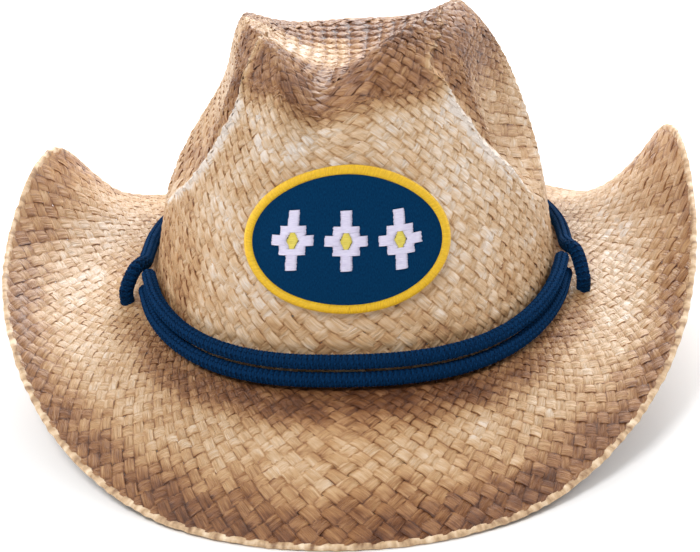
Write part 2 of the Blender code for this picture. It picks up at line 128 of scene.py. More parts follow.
# Weave of the straw
BRIM_STRIP_COUNT = 120
CROWN_STRIP_COUNT = 84
LIP_STRIP_COUNT = 56
TOP_STRIP_COUNT = 20
LIP_SHARE = 0.62
TOP_SHARE = 0.42
TOP_OVERLAP = 1.03
SIDE_CROWDING = 0.16
STRIP_WIDTHS = (0.88, 1.14)
STRIP_THICKNESS = 0.00040
STRIP_RISE = 0.00052
STRIP_DOME = 0.00045
STRIP_WANDER = 0.42
STRIP_TWIST = 0.0020
STRIP_SHARP_ANGLE = 40
STRIP_PIECES_ACROSS = 3
STRIP_PIECES_A_CROSSING = 4
STRIP_SEEDS = {1.0: 11, -1.0: 29}
CAP_STRIP_WIDTH = 0.98
CAP_FILL = 0.985
CAP_WANDER = 0.12
CAP_SEEDS = {1.0: 47, -1.0: 53}

# Ridges where the crown's front turns into its dented sides
RIDGE_LIFT = 0.0018
RIDGE_WIDTH = 0.0036
RIDGE_DENT = 0.0042
RIDGE_DENT_WIDTH = 0.011
RIDGE_ROWS = (
    # share of the crown's height, left angle, left strength, right angle, right strength
    (0.30, 84, 0.0, 80, 0.0),
    (0.355, 79, 0.4, 76, 0.0),
    (0.50, 61, 0.9, 62, 0.6),
    (0.57, 56, 1.0, 55, 1.0),
    (0.63, 52, 1.0, 49, 1.0),
    (0.69, 50, 1.0, 46, 1.0),
    (0.77, 48, 1.0, 42, 1.0),
    (0.83, 52, 1.0, 41, 1.0),
    (0.90, 60, 0.8, 43, 1.0),
    (0.92, 64, 0.5, 56, 0.8),
    (0.95, 68, 0.1, 82, 0.2),
    (0.98, 70, 0.0, 90, 0.0),
)

# The folded hem's width, and how far the strips' ends reach over it as a share of the brim's width
HEM_REACH = 0.0030
HEM_OVERLAP = 0.017
HEM_SEED = 7
HEM_SECTION = (
    # share of the hem's reach inwards, share of its half thickness
    (-0.08, -0.2), (0.0, 0.15), (0.18, 0.40), (0.40, 0.45), (0.70, 0.25), (1.0, 0.0),
    (1.0, -0.75), (0.92, -0.93), (0.55, -1.0), (0.22, -0.95), (0.0, -0.65),
)

# Braid of the cord, and the tied knots under the brim
CORD_STEP = 0.002
CORD_SIDES = 12
BRAID_STRANDS = 8
BRAID_THICKNESS = 0.0004
BRAID_RISE = 0.00026
BRAID_DOME = 0.00012
KNOT_CORD_RADIUS = 0.0021
KNOT_LOOP_SHARE = 0.21
KNOT_STEPS = 90

# Stitches of the patch
OVERLOCK_COUNT = 430
OVERLOCK_RADIUS = 0.00042
OVERLOCK_SEED = 21
STITCH_PITCH = 0.00042
STITCH_RADIUS = 0.00027
STITCH_RISE = 0.0006
STITCH_SEED = 33
EYE_HALF_WIDTH = 0.0026
EYE_HALF_HEIGHT = 0.0034
MOTIF_STEPS = (
    # share of the half width, from and to a share of the half height
    (1.0, 0.0, 0.16),
    (0.62, 0.16, 0.5),
    (0.26, 0.5, 1.0),
)

# How much browner each place is, from 0 for pale to 1 for dark: airbrushed brown, and painted shade on the
# crown's walls and behind its ridges; painted highlights make places less brown
BRIM_STAINS_AND_HIGHLIGHT = {"all over": 0.15, "near the band": 0.60, "near the edge": 0.60, "painted highlight on the sides": 0.17}
CROWN_STAINS_AND_PAINTED_LIGHT = {
    "near the band": 0.20, "painted shade on the left wall": 0.24, "painted shade on the right wall": 0.08, "lip": 0.64, "painted shade behind the ridges": 0.30,
    "right dent": 0.50, "back": 0.62, "crease": 0.48, "darkest": 0.62, "painted highlight in the crease": 0.36,
    "painted highlight on the ridges": 0.60, "bleached all over": 0.04,
}
STRAW_COLOURS = (
    # place, from whitish, which the painted highlights reach, over pale to dark, and red, green, blue
    (0.0, 0.86, 0.75, 0.66),
    (0.2, 0.74, 0.53, 0.34),
    (0.4, 0.58, 0.345, 0.165),
    (0.6, 0.38, 0.182, 0.072),
    (0.8, 0.20, 0.074, 0.024),
    (1.0, 0.085, 0.026, 0.008),
)
HEM_COLOURS = ((0.32, 0.22, 0.11, 0.05), (0.5, 0.56, 0.38, 0.22), (0.70, 0.80, 0.64, 0.46))
CORD_CORE_COLOUR = (0.002, 0.008, 0.03)
THREADS = {
    # dark and light red, green and blue, roughness, scales of the grain, gloss, braided
    "braided_cord": ((0.0003, 0.006, 0.022), (0.0014, 0.034, 0.110), 0.9, (1.2, 9.0), 0.08, True),
    "patch_twill": ((0.0002, 0.018, 0.058), (0.0008, 0.034, 0.098), 0.9, (2200, 900), 0.05),
    "yellow_overlock": ((0.60, 0.34, 0.002), (0.84, 0.54, 0.012), 0.5, (300, 3000)),
    "pale_stitches": ((0.56, 0.52, 0.70), (0.78, 0.75, 0.88), 0.5, (300, 3000)),
    "gold_stitches": ((0.60, 0.48, 0.06), (0.80, 0.70, 0.14), 0.5, (300, 3000)),
}

# Camera, floor and light
CAMERA_PLACE = (0.0542, -1.191, 0.5884)
CAMERA_AIM = (0.0001, -0.0143, 0.0374)
CAMERA_LENS = 154.8
CAMERA_ROLL = -2.5
FLOOR_REACH = 6.0
FLOOR_COLOUR = (0.93, 0.93, 0.93)
WORLD_LIGHT = 0.55
LIGHT_AIM = (0, 0, 0.06)
LIGHTS = (
    # name, place, size, power
    ("key", (-0.55, -1.1, 1.7), 0.6, 21),
    ("back", (0.2, 1.5, 1.0), 1.0, 34),
    ("left", (-1.5, 0.6, 0.9), 0.7, 16),
    ("right", (1.5, 0.6, 0.9), 0.7, 16),
)


def table_value(rows, position, column):
    """One column of a table at a position, on a smooth curve through its rows."""
    places = np.array([row[0] for row in rows])
    values = np.array([row[column] for row in rows])
    slopes = np.gradient(values, places)
    position = np.clip(position, places[0], places[-1])
    index = np.clip(np.searchsorted(places, position, side="right") - 1, 0, len(places) - 2)
    step = places[index + 1] - places[index]
    share = (position - places[index]) / step
    start, end = values[index], values[index + 1]
    return (
        start * (1 + 2 * share) * (1 - share) ** 2
        + end * share ** 2 * (3 - 2 * share)
        + step * slopes[index] * share * (1 - share) ** 2
        - step * slopes[index + 1] * share ** 2 * (1 - share)
    )


def junction_height(angle):
    """Height of the line where the crown meets the brim, which bows up at the sides."""
    return FRONT_JUNCTION + SIDE_JUNCTION_RISE * np.sin(angle) ** 4


def crown_share(height):
    """Size of the crown's outline at a share of its height, as a share of its outline at the brim."""
    rounding = (1 - height ** CROWN_SQUARENESS) ** (1 / CROWN_SQUARENESS)
    return rounding * (1 - CROWN_TAPER * height)


def crease_depth(x, y):
    """How far the crease lowers the top of the crown."""
    along = y / (CROWN_LENGTH / 2)
    depth, middle, left, right, flatness = [table_value(CREASE_ROWS, along, column) for column in range(1, 6)]
    across = x / (CREASE_WIDTH / 2) - middle
    across = np.clip(np.abs(across) / np.where(across < 0, left, right), 0, 1)
    return CREASE_DEPTH * (1 - across ** flatness) ** CREASE_SOFTNESS * depth


def dent_depth(x, y, height):
    """How far the side dents push the crown's wall in, towards the middle."""
    depth = np.zeros_like(x)
    along = y / (CROWN_LENGTH / 2)
    for side, centre, forward, backward, up, half_height, deep in DENT_ROWS:
        reach = np.where(along < centre, forward, backward)
        square = ((along - centre) / reach) ** 2 + ((height - up) / half_height) ** 2
        bump = np.clip(1 - square, 0, 1) ** DENT_SOFTNESS
        depth = depth + np.where(x * side > 0, bump * deep * CROWN_WIDTH / 2, 0)
    return depth


def plan_normal(angle):
    """Level direction straight out of the crown's outline."""
    power = 2 - 2 / CROWN_ROUNDNESS
    x = np.sign(np.sin(angle)) * np.abs(np.sin(angle)) ** power / CROWN_WIDTH
    y = -np.sign(np.cos(angle)) * np.abs(np.cos(angle)) ** power / CROWN_LENGTH
    length = np.hypot(x, y)
    return np.stack([x / length, y / length, np.zeros_like(x)], axis=-1)


def crown_point(angle, height):
    """Outer surface of the crown at an angle and a share of its height."""
    angle, height = np.broadcast_arrays(np.asarray(angle, float), np.asarray(height, float))
    base = junction_height(angle)
    z = base + height * (CROWN_TOP - base)
    share = crown_share(height)
    power = 2 / CROWN_ROUNDNESS
    x = CROWN_WIDTH / 2 * share * np.sign(np.sin(angle)) * np.abs(np.sin(angle)) ** power
    y = -CROWN_LENGTH / 2 * share * np.sign(np.cos(angle)) * np.abs(np.cos(angle)) ** power
    flare = JUNCTION_FILLET * np.exp(-(z - base) / JUNCTION_FILLET)
    dent = dent_depth(x, y, height)
    z = z - crease_depth(x, y) - dent * DENT_DROP
    x = x - np.sign(x) * dent + CROWN_LEAN * height
    return np.stack([x, y, z], axis=-1) + plan_normal(angle) * flare[..., None]


def outline_point(angle):
    """The brim's outline on the resting surface, without its reach from the table."""
    power = 2 / BRIM_ROUNDNESS
    x = BRIM_WIDTH / 2 * np.sign(np.sin(angle)) * np.abs(np.sin(angle)) ** power
    y = -BRIM_LENGTH / 2 * np.sign(np.cos(angle)) * np.abs(np.cos(angle)) ** power
    return x, y


def hem_point(angle):
    """Middle of the hem, which follows the brim's edge and lies level where the hat rests."""
    angle = np.asarray(angle, float)
    turned = (angle + math.pi) % (2 * math.pi) - math.pi
    degrees = np.degrees(np.abs(turned))
    rest = math.degrees(math.asin((REST_WIDTH / BRIM_WIDTH) ** (BRIM_ROUNDNESS / 2)))
    from_end = 90 - np.abs(90 - degrees)
    eased = 90 * np.clip((from_end - rest) / (90 - rest), 0, 1)
    place = np.where(degrees < 90, eased, 180 - eased)
    right = np.sin(angle) >= 0
    reach = np.where(right, table_value(EDGE_ROWS, degrees, 3), table_value(EDGE_ROWS, degrees, 1))
    lift = np.where(right, table_value(EDGE_ROWS, place, 4), table_value(EDGE_ROWS, place, 2))
    x, y = outline_point(angle)
    inset = 1 - HEM_DIAMETER / (2 * np.hypot(x, y))
    z = np.maximum(lift, 0) * EDGE_RISE + HEM_DIAMETER / 2 * math.cos(math.pi / HEM_SIDES)
    return np.stack([x * reach * inset, y * reach * inset, z], axis=-1)


def brim_roll(angle):
    """How sharply the brim turns up, or down at the front and back, towards its edge."""
    return FRONT_ROLL + (SIDE_ROLL - FRONT_ROLL) * np.sin(angle) ** 2


def hem_direction(angle):
    """Direction along the hem, to the right at the front."""
    step = math.radians(0.5)
    along = hem_point(angle + step) - hem_point(angle - step)
    return along / np.linalg.norm(along, axis=-1, keepdims=True)


def brim_edge_point(angle):
    """End of the brim's upper surface, against the hem, and the two directions square to the hem there."""
    hem = hem_point(angle)
    root = crown_point(angle, np.zeros_like(angle))
    run = np.hypot(hem[..., 0] - root[..., 0], hem[..., 1] - root[..., 1])
    rise = hem[..., 2] - root[..., 2]
    outward = (hem - root) / run[..., None]
    outward[..., 2] = brim_roll(angle) * rise / run
    along = hem_direction(angle)
    outward = outward - along * np.sum(outward * along, axis=-1, keepdims=True)
    outward = outward / np.linalg.norm(outward, axis=-1, keepdims=True)
    above = np.cross(outward, along)
    point = hem - outward * (HEM_DIAMETER / 2 + 2 * CLEARANCE) + above * STRAW_WALL / 2
    return point, outward, above


def brim_point(angle, share):
    """Upper surface of the brim at an angle and a share of the way from the crown to the edge."""
    angle, share = np.broadcast_arrays(np.asarray(angle, float), np.asarray(share, float))
    root = crown_point(angle, np.zeros_like(angle))
    edge = brim_edge_point(angle)[0]
    point = root + (edge - root) * share[..., None]
    point[..., 2] = root[..., 2] + (edge[..., 2] - root[..., 2]) * share ** brim_roll(angle)
    point[..., 2] -= SIDE_SAG * np.sin(angle) ** 2 * np.sin(np.pi * share)
    return point


def crown_normal(angle, height, step=0.002):
    """Outward direction of the crown's surface."""
    around = crown_point(angle + step, height) - crown_point(angle - step, height)
    upward = crown_point(angle, height + step) - crown_point(angle, height - step)
    normal = np.cross(around, upward)
    return normal / np.linalg.norm(normal, axis=-1, keepdims=True)


def ridge_place(angle, height):
    """Distance behind the ridge on the same side of the crown, and the ridge's strength there."""
    degrees = np.degrees(angle)
    left, left_strength, right, right_strength = [
        table_value(RIDGE_ROWS, height, column) for column in range(1, 5)]
    on_left = degrees < 0
    behind = np.radians(np.abs(degrees) - np.where(on_left, left, right)) * CROWN_WIDTH / 2
    strength = np.where(on_left, left_strength, right_strength)
    return behind, np.clip(strength, 0, 1)


def ridged_crown_point(angle, height):
    """The crown with the ridges that its front makes against its dented sides."""
    point = crown_point(angle, height)
    behind, strength = ridge_place(angle, height)
    lift = RIDGE_LIFT * np.exp(-(behind / RIDGE_WIDTH) ** 2)
    reach = np.maximum(behind, 0) / RIDGE_DENT_WIDTH
    lift = lift - RIDGE_DENT * reach * np.exp(1 - reach)
    return point + plan_normal(angle) * (lift * strength)[..., None]


ROUND_ANGLES = np.linspace(-math.pi, math.pi, 721)
OUTLINE = hem_point(ROUND_ANGLES)
TO_MIDDLE = -(OUTLINE.min(axis=0) + OUTLINE.max(axis=0)) / 2 * np.array([1, 1, 0])


def smooth_step(value, start, end):
    """0 below start, 1 above end, with a soft change between them."""
    share = np.clip((value - start) / (end - start), 0, 1)
    return share * share * (3 - 2 * share)


class Flow:
    """A value in a node tree, which sums and products are written with."""

    def __init__(self, tree, socket):
        self.tree = tree
        self.socket = socket

    def math(self, operation, *others):
        values = dict(enumerate((self, *others)))
        return Flow(self.tree, add_node(self.tree, "ShaderNodeMath", values, operation=operation).outputs[0])

    def __add__(self, other):
        return self.math("ADD", other)

    def __sub__(self, other):
        return self.math("SUBTRACT", other)

    def __rsub__(self, other):
        return (self - other) * -1.0

    def __mul__(self, other):
        return self.math("MULTIPLY", other)

    def __truediv__(self, other):
        return self.math("DIVIDE", other)


def add_node(tree, kind, inputs=None, **settings):
    """A node with its settings and with values or links on its named or numbered inputs."""
    node = tree.nodes.new(kind)
    for name, value in settings.items():
        setattr(node, name, value)
    for name, value in (inputs or {}).items():
        if isinstance(value, Flow):
            value = value.socket
        if isinstance(value, bpy.types.NodeSocket):
            tree.links.new(value, node.inputs[name])
        else:
            node.inputs[name].default_value = value
    return node


def join(tree, x, y, z=0.0):
    """A vector from its three parts."""
    return add_node(tree, "ShaderNodeCombineXYZ", {0: x, 1: y, 2: z}).outputs[0]


def new_tree(name, sizes):
    """A geometry tree with its named sizes in, and the socket for its geometry out."""
    tree = bpy.data.node_groups.new(name, "GeometryNodeTree")
    tree.interface.new_socket("Geometry", in_out="INPUT", socket_type="NodeSocketGeometry")
    tree.interface.new_socket("Geometry", in_out="OUTPUT", socket_type="NodeSocketGeometry")
    kinds = {int: "NodeSocketInt", float: "NodeSocketFloat", str: "NodeSocketMaterial"}
    for size, kind in sizes.items():
        tree.interface.new_socket(size, in_out="INPUT", socket_type=kinds[kind])
    source = tree.nodes.new("NodeGroupInput").outputs
    given = {size: Flow(tree, source[size]) for size in ("Geometry", *sizes)}
    return tree, given, tree.nodes.new("NodeGroupOutput").inputs[0]


def grow(name, guide, tree, sizes):
    """A plain mesh piece from a geometry tree that runs on a guide mesh."""
    thing = bpy.data.objects.new(name + "_guide", guide)
    bpy.context.scene.collection.objects.link(thing)
    modifier = thing.modifiers.new("grow", "NODES")
    modifier.node_group = tree
    for socket in tree.interface.items_tree:
        if socket.in_out == "INPUT" and socket.name in sizes:
            modifier[socket.identifier] = sizes[socket.name]
    bpy.context.view_layer.update()
    evaluated = thing.evaluated_get(bpy.context.evaluated_depsgraph_get())
    mesh = bpy.data.meshes.new_from_object(evaluated)
    thing.modifiers.remove(modifier)
    bpy.data.objects.remove(thing)
    mesh.name = name
    mesh.shade_smooth()
    mesh.set_sharp_from_angle(angle=math.radians(STRIP_SHARP_ANGLE))
    return add_piece(name, mesh)


def add_piece(name, mesh, material=None):
    """An object at the origin for a finished mesh."""
    if material:
        mesh.materials.append(material)
    piece = bpy.data.objects.new(name, mesh)
    bpy.context.scene.collection.objects.link(piece)
    return piece


def finish_piece(piece, slot, *nodes):
    """Puts a piece on the hat's one body and hides the solids that it stands for; the slot for its finish is
    not used.
    """
    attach(piece, "root")
    if nodes:
        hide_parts(*nodes)


def outward_from(points):
    """Directions square to a sheet of points, alike on both sides of a closed sheet's seam."""
    across = np.gradient(points, axis=1)
    if np.allclose(points[:, 0], points[:, -1], atol=1e-6):
        across[:, 0] = across[:, -1] = (across[:, 0] + across[:, -1]) / 2
    outward = np.cross(across, np.gradient(points, axis=0))
    length = np.linalg.norm(outward, axis=-1, keepdims=True)
    return np.where(length > 1e-14, outward / np.maximum(length, 1e-14), np.array([0, 0, 1.0]))


def guide_sheet(name, points, around, along, stain_and_painted_light=None):
    """A sheet that says where a weave lies: a UV map for the place and an attribute for outwards."""
    rows, columns = points.shape[:2]
    index = np.arange(rows * columns).reshape(rows, columns)
    faces = np.stack([index[:-1, :-1], index[:-1, 1:], index[1:, 1:], index[1:, :-1]], axis=-1).reshape(-1, 4)
    mesh = bpy.data.meshes.new(name)
    mesh.from_pydata(points.reshape(-1, 3).tolist(), [], faces.tolist())
    corners = np.zeros(len(mesh.loops), dtype=np.int32)
    mesh.loops.foreach_get("vertex_index", corners)
    place = np.stack(np.broadcast_arrays(around, along), axis=-1).reshape(-1, 2)
    layer = mesh.uv_layers.new(name="guide_place")
    layer.data.foreach_set("uv", place[corners].astype(np.float32).ravel())
    attribute = mesh.attributes.new("outward", "FLOAT_VECTOR", "POINT")
    attribute.data.foreach_set("vector", outward_from(points).astype(np.float32).ravel())
    attribute = mesh.attributes.new("stain_and_painted_light", "FLOAT", "POINT")
    values = np.zeros(rows * columns) if stain_and_painted_light is None else stain_and_painted_light.ravel()
    attribute.data.foreach_set("value", values.astype(np.float32))
    return mesh


WEAVE_SIZES = {
    "Strips": int, "Pieces along": int, "Pieces across": int, "Rows": float, "First row": float,
    "Last row": float, "Lean": float, "Strip width": float, "Thickness": float, "Rise": float,
    "Dome": float, "Bias": float, "Wander": float, "Twist": float, "Seed": int, "Finish": str,
}


def strips(tree, given):
    """Straight strips in one heap: their geometry, each one's number and its flat places."""
    box = add_node(tree, "GeometryNodeMeshCube", {
        "Size": (1, 1, 1), "Vertices X": given["Pieces across"], "Vertices Y": given["Pieces along"],
        "Vertices Z": 2})
    points = add_node(tree, "GeometryNodePoints", {"Count": given["Strips"]})
    number = add_node(tree, "GeometryNodeInputIndex").outputs[0]
    numbered = add_node(tree, "GeometryNodeStoreNamedAttribute", {
        "Geometry": points.outputs[0], "Name": "strip", "Value": number}, data_type="FLOAT", domain="POINT")
    copies = add_node(tree, "GeometryNodeInstanceOnPoints", {
        "Points": numbered.outputs[0], "Instance": box.outputs[0]})
    real = add_node(tree, "GeometryNodeRealizeInstances", {0: copies.outputs[0]})
    place = add_node(tree, "ShaderNodeSeparateXYZ", {
        0: add_node(tree, "GeometryNodeInputPosition").outputs[0]})
    strip = add_node(tree, "GeometryNodeInputNamedAttribute", {"Name": "strip"}, data_type="FLOAT")
    return real.outputs[0], Flow(tree, strip.outputs[0]), [Flow(tree, part) for part in place.outputs]


def random_number(tree, low, high, strip, seed):
    """A number of its own for each strip."""
    node = add_node(tree, "FunctionNodeRandomValue", {
        "Min": low, "Max": high, "ID": strip, "Seed": seed}, data_type="FLOAT")
    return Flow(tree, node.outputs[1])


def uneven(tree, strip, along, seed, scale, offset):
    """A slow, soft change along each strip, from -0.5 to 0.5."""
    spot = join(tree, strip * 7.31, along * scale, seed + offset)
    noise = add_node(tree, "ShaderNodeTexNoise", {"Vector": spot, "Scale": 1.0, "Detail": 1.0})
    return Flow(tree, noise.outputs[0]) - 0.5


def lay_on_guide(tree, given, geometry, around, along, height, wave, run, strip, across):
    """Moves flat strips onto the guide and gives them their maps and their finish."""
    found = []
    for name, kind in (("position", "FLOAT_VECTOR"), ("outward", "FLOAT_VECTOR"), ("stain_and_painted_light", "FLOAT")):
        if name == "position":
            value = add_node(tree, "GeometryNodeInputPosition")
        else:
            value = add_node(tree, "GeometryNodeInputNamedAttribute", {"Name": name}, data_type=kind)
        guide_map = add_node(tree, "GeometryNodeInputNamedAttribute", {"Name": "guide_place"},
                             data_type="FLOAT_VECTOR")
        sample = add_node(tree, "GeometryNodeSampleUVSurface", {
            "Mesh": given["Geometry"], "Value": value.outputs[0], "UV Map": guide_map.outputs[0],
            "Sample UV": join(tree, around, along)}, data_type=kind)
        found.append(sample.outputs[0])
    position, outward, stain_and_painted_light = found
    tone = random_number(tree, 0.0, 1.0, strip, given["Seed"])
    edge = across.math("ABSOLUTE") * 2.0
    for name, value in (("stain_and_painted_light", stain_and_painted_light), ("tone", tone), ("wave", wave), ("edge", edge)):
        geometry = add_node(tree, "GeometryNodeStoreNamedAttribute", {
            "Geometry": geometry, "Name": name, "Value": value}, data_type="FLOAT", domain="POINT").outputs[0]
    mapped = add_node(tree, "GeometryNodeStoreNamedAttribute", {
        "Geometry": geometry, "Name": "UVMap", "Value": join(tree, across + strip * 3.0, run)},
        data_type="FLOAT2", domain="CORNER")
    lift = add_node(tree, "ShaderNodeVectorMath", {0: outward, "Scale": height}, operation="SCALE")
    place = add_node(tree, "ShaderNodeVectorMath", {0: position, 1: lift.outputs[0]}, operation="ADD")
    moved = add_node(tree, "GeometryNodeSetPosition", {
        "Geometry": mapped.outputs[0], "Position": place.outputs[0]})
    finished = add_node(tree, "GeometryNodeSetMaterial", {
        "Geometry": moved.outputs[0], "Material": given["Finish"]})
    return finished.outputs[0]


def strip_height(tree, given, wave, across, thick, strip, run):
    """Height of a strip over the guide: over and under, domed across and a little twisted."""
    firm = wave.math("ABSOLUTE").math("POWER", 0.6) * wave.math("SIGN")
    twist = uneven(tree, strip, run, given["Seed"], 0.9, 5.5) * given["Twist"]
    domed = firm * given["Rise"] - across * across * 4.0 * given["Dome"]
    return domed + twist * across + thick * given["Thickness"]


def plait_tree():
    """One family of slanting strips that go round a guide, over and under those of the other lean."""
    tree, given, result = new_tree("plait_round_a_guide", WEAVE_SIZES)
    geometry, strip, (x, y, z) = strips(tree, given)
    row = (y + 0.5).math("MULTIPLY_ADD", given["Last row"] - given["First row"], given["First row"])
    width = random_number(tree, *STRIP_WIDTHS, strip, given["Seed"] + 3.0) * given["Strip width"]
    across = x * width
    wander = uneven(tree, strip, row, given["Seed"], 0.45, 0.5) * given["Wander"]
    around = (strip + given["Lean"] * row + across + wander) / given["Strips"]
    turn = (row + given["Lean"] * across * 0.5) * (2 * math.pi)
    wave = (turn.math("COSINE") - given["Bias"]) * given["Lean"]
    height = strip_height(tree, given, wave, x, z, strip, row)
    done = lay_on_guide(tree, given, geometry, around.math("FRACT"), row / given["Rows"], height, wave, row,
                        strip, x)
    tree.links.new(done, result)
    return tree


def cap_tree():
    """One family of straight strips across a round cap, over and under those that cross them."""
    tree, given, result = new_tree("weave_across_a_cap", WEAVE_SIZES)
    geometry, strip, (x, y, z) = strips(tree, given)
    wander = uneven(tree, strip, y, given["Seed"], 9.0, 0.5) * given["Wander"]
    side = (strip + 0.5 + (x * given["Strip width"] + wander)) / given["Strips"] - 0.5
    middle = (strip + 0.5) / given["Strips"] - 0.5
    chord = (0.25 - middle * middle).math("MAXIMUM", 0.0).math("SQRT") * (2 * CAP_FILL)
    run = y * chord
    crossing = (run + 0.5) * given["Strips"] + strip
    wave = (crossing * math.pi).math("SINE") * given["Lean"]
    height = strip_height(tree, given, wave, x, z, strip, run * float(TOP_STRIP_COUNT))
    # The second family runs square to the first
    turned = given["Lean"].math("LESS_THAN", 0.0)
    places = []
    for first, second in ((side, run), (run, side * -1.0)):
        chosen = add_node(tree, "ShaderNodeMix", {0: turned, 2: first, 3: second}, data_type="FLOAT")
        places.append(Flow(tree, chosen.outputs[0]) + 0.5)
    done = lay_on_guide(tree, given, geometry, *places, height, wave, run * given["Strips"], strip, x)
    tree.links.new(done, result)
    return tree


def new_material(name, roughness, **shader_values):
    """A material with its shader's own plain values set."""
    material = bpy.data.materials.new(name)
    material.use_nodes = True
    shader = material.node_tree.nodes["Principled BSDF"]
    shader.inputs["Roughness"].default_value = roughness
    for socket, value in shader_values.items():
        shader.inputs[socket.replace("_", " ")].default_value = value
    return material, material.node_tree, shader


def read_attribute(tree, name):
    """A number that the piece's mesh carries."""
    return Flow(tree, add_node(tree, "ShaderNodeAttribute", attribute_name=name).outputs["Fac"])


def map_noise(tree, scale, detail, roughness=0.5):
    """Noise along the piece's own UV map, stretched by two scales."""
    own_map = add_node(tree, "ShaderNodeUVMap", uv_map="UVMap").outputs[0]
    stretched = add_node(tree, "ShaderNodeMapping", {"Vector": own_map, "Scale": (*scale, 1.0)}).outputs[0]
    return Flow(tree, add_node(tree, "ShaderNodeTexNoise", {
        "Vector": stretched, "Scale": 1.0, "Detail": detail, "Roughness": roughness}).outputs[0])


def colour_and_relief(tree, shader, factor, stops, height, strength, distance):
    """Gives a shader a colour along a ramp of (position, red, green, blue) rows, and a fine relief."""
    ramp = add_node(tree, "ShaderNodeValToRGB", {0: factor})
    elements = ramp.color_ramp.elements
    while len(elements) < len(stops):
        elements.new(1.0)
    for element, (position, *colour) in zip(elements, stops):
        element.position = position
        element.color = (*colour, 1)
    bump = add_node(tree, "ShaderNodeBump", {"Strength": strength, "Distance": distance, "Height": height})
    tree.links.new(ramp.outputs[0], shader.inputs["Base Color"])
    tree.links.new(bump.outputs[0], shader.inputs["Normal"])


def straw_material():
    """Satin straw strips with fibre lines, uneven tones, airbrushed brown with painted highlights and shade,
    and painted shade where strips dip under and along their edges.
    """
    material, tree, shader = new_material(
        "plaited_straw", 0.4, Specular_IOR_Level=0.35, Coat_Weight=0.15, Coat_Roughness=0.3)
    stain_and_painted_light, tone, wave, edge = [read_attribute(tree, name) for name in ("stain_and_painted_light", "tone", "wave", "edge")]
    fibre = map_noise(tree, (18.0, 1.1), 5.0, 0.7)
    folds = map_noise(tree, (4.0, 0.8), 2.0)
    patches = map_noise(tree, (1.0, 1.8), 1.0)
    painted_shade_noise = map_noise(tree, (1.6, 1.4), 2.0)
    place = add_node(tree, "ShaderNodeTexCoord").outputs["Object"]
    cloud = add_node(tree, "ShaderNodeTexNoise", {"Vector": place, "Scale": 70.0, "Detail": 4.0}).outputs[0]
    # Painted shade: the straw is darkened where a strip dips under another one and along its edges, where
    # shade falls between strips, but unevenly so
    dip = (0.40 - wave).math("MAXIMUM", 0.0)
    rim = (edge - 0.74).math("MAXIMUM", 0.0)
    painted_shade_patches = (painted_shade_noise - 0.36).math("MAXIMUM", 0.0) * 4.0
    amount = (dip * 0.45 + rim * 1.7) * painted_shade_patches + stain_and_painted_light
    unevenness = (
        (tone, 0.14), (fibre, 0.80), (folds, 0.50), (patches, 0.45), (Flow(tree, cloud), 0.80))
    for source, weight in unevenness:
        amount = amount + (source - 0.5) * weight
    colour_and_relief(tree, shader, amount * 0.8 + 0.2, STRAW_COLOURS, fibre + folds * 2.0, 1.0, 0.0008)
    tree.links.new((fibre * 0.35 + 0.20).socket, shader.inputs["Roughness"])
    return material


def hem_material():
    """Pale turned straw with an uneven tone."""
    material, tree, shader = new_material("turned_straw", 0.5)
    grain = map_noise(tree, (260.0, 120.0), 3.0)
    colour_and_relief(tree, shader, grain, HEM_COLOURS, grain, 0.5, 0.0003)
    return material


def thread_material(name, dark, light, roughness, grain_scale, gloss=0.5, braided=False):
    """Thread with fine lines along its run; a braided strand is painted paler where it rides over the others,
    a painted highlight and shade of its relief.
    """
    material, tree, shader = new_material(name, roughness, Specular_IOR_Level=gloss)
    grain = map_noise(tree, grain_scale, 3.0)
    # Painted highlight and shade: a braided strand's colour follows how high it rides over the others
    shade = read_attribute(tree, "wave") * 0.35 + grain * 0.8 if braided else grain
    colour_and_relief(tree, shader, shade, ((0.3, *dark), (0.7, *light)), grain, 0.6, 0.0003)
    return material


def plain_material(name, colour, roughness):
    """One even colour, for what barely shows."""
    material, _, shader = new_material(name, roughness)
    shader.inputs["Base Color"].default_value = (*colour, 1)
    return material


def brim_stain_and_highlight(angle, share):
    """How brown the airbrushed straw is at a share of the way across the brim, 0 pale and 1 dark, with a
    painted highlight that makes the sides paler.
    """
    front = np.clip(np.cos(angle), 0, 1)
    near_band = (1 - smooth_step(share, 0.16, 0.42)) * (0.20 + 0.80 * front)
    near_edge = smooth_step(share, 0.56, 0.96) * (0.40 + 0.60 * front)
    # Painted highlight: the sides of the brim are made paler where the side lights' gloss falls
    side_painted_highlight = np.sin(angle) ** 4 * np.exp(-((share - 0.50) / 0.28) ** 2)
    return (BRIM_STAINS_AND_HIGHLIGHT["all over"] + BRIM_STAINS_AND_HIGHLIGHT["near the band"] * near_band
            + BRIM_STAINS_AND_HIGHLIGHT["near the edge"] * near_edge - BRIM_STAINS_AND_HIGHLIGHT["painted highlight on the sides"] * side_painted_highlight)


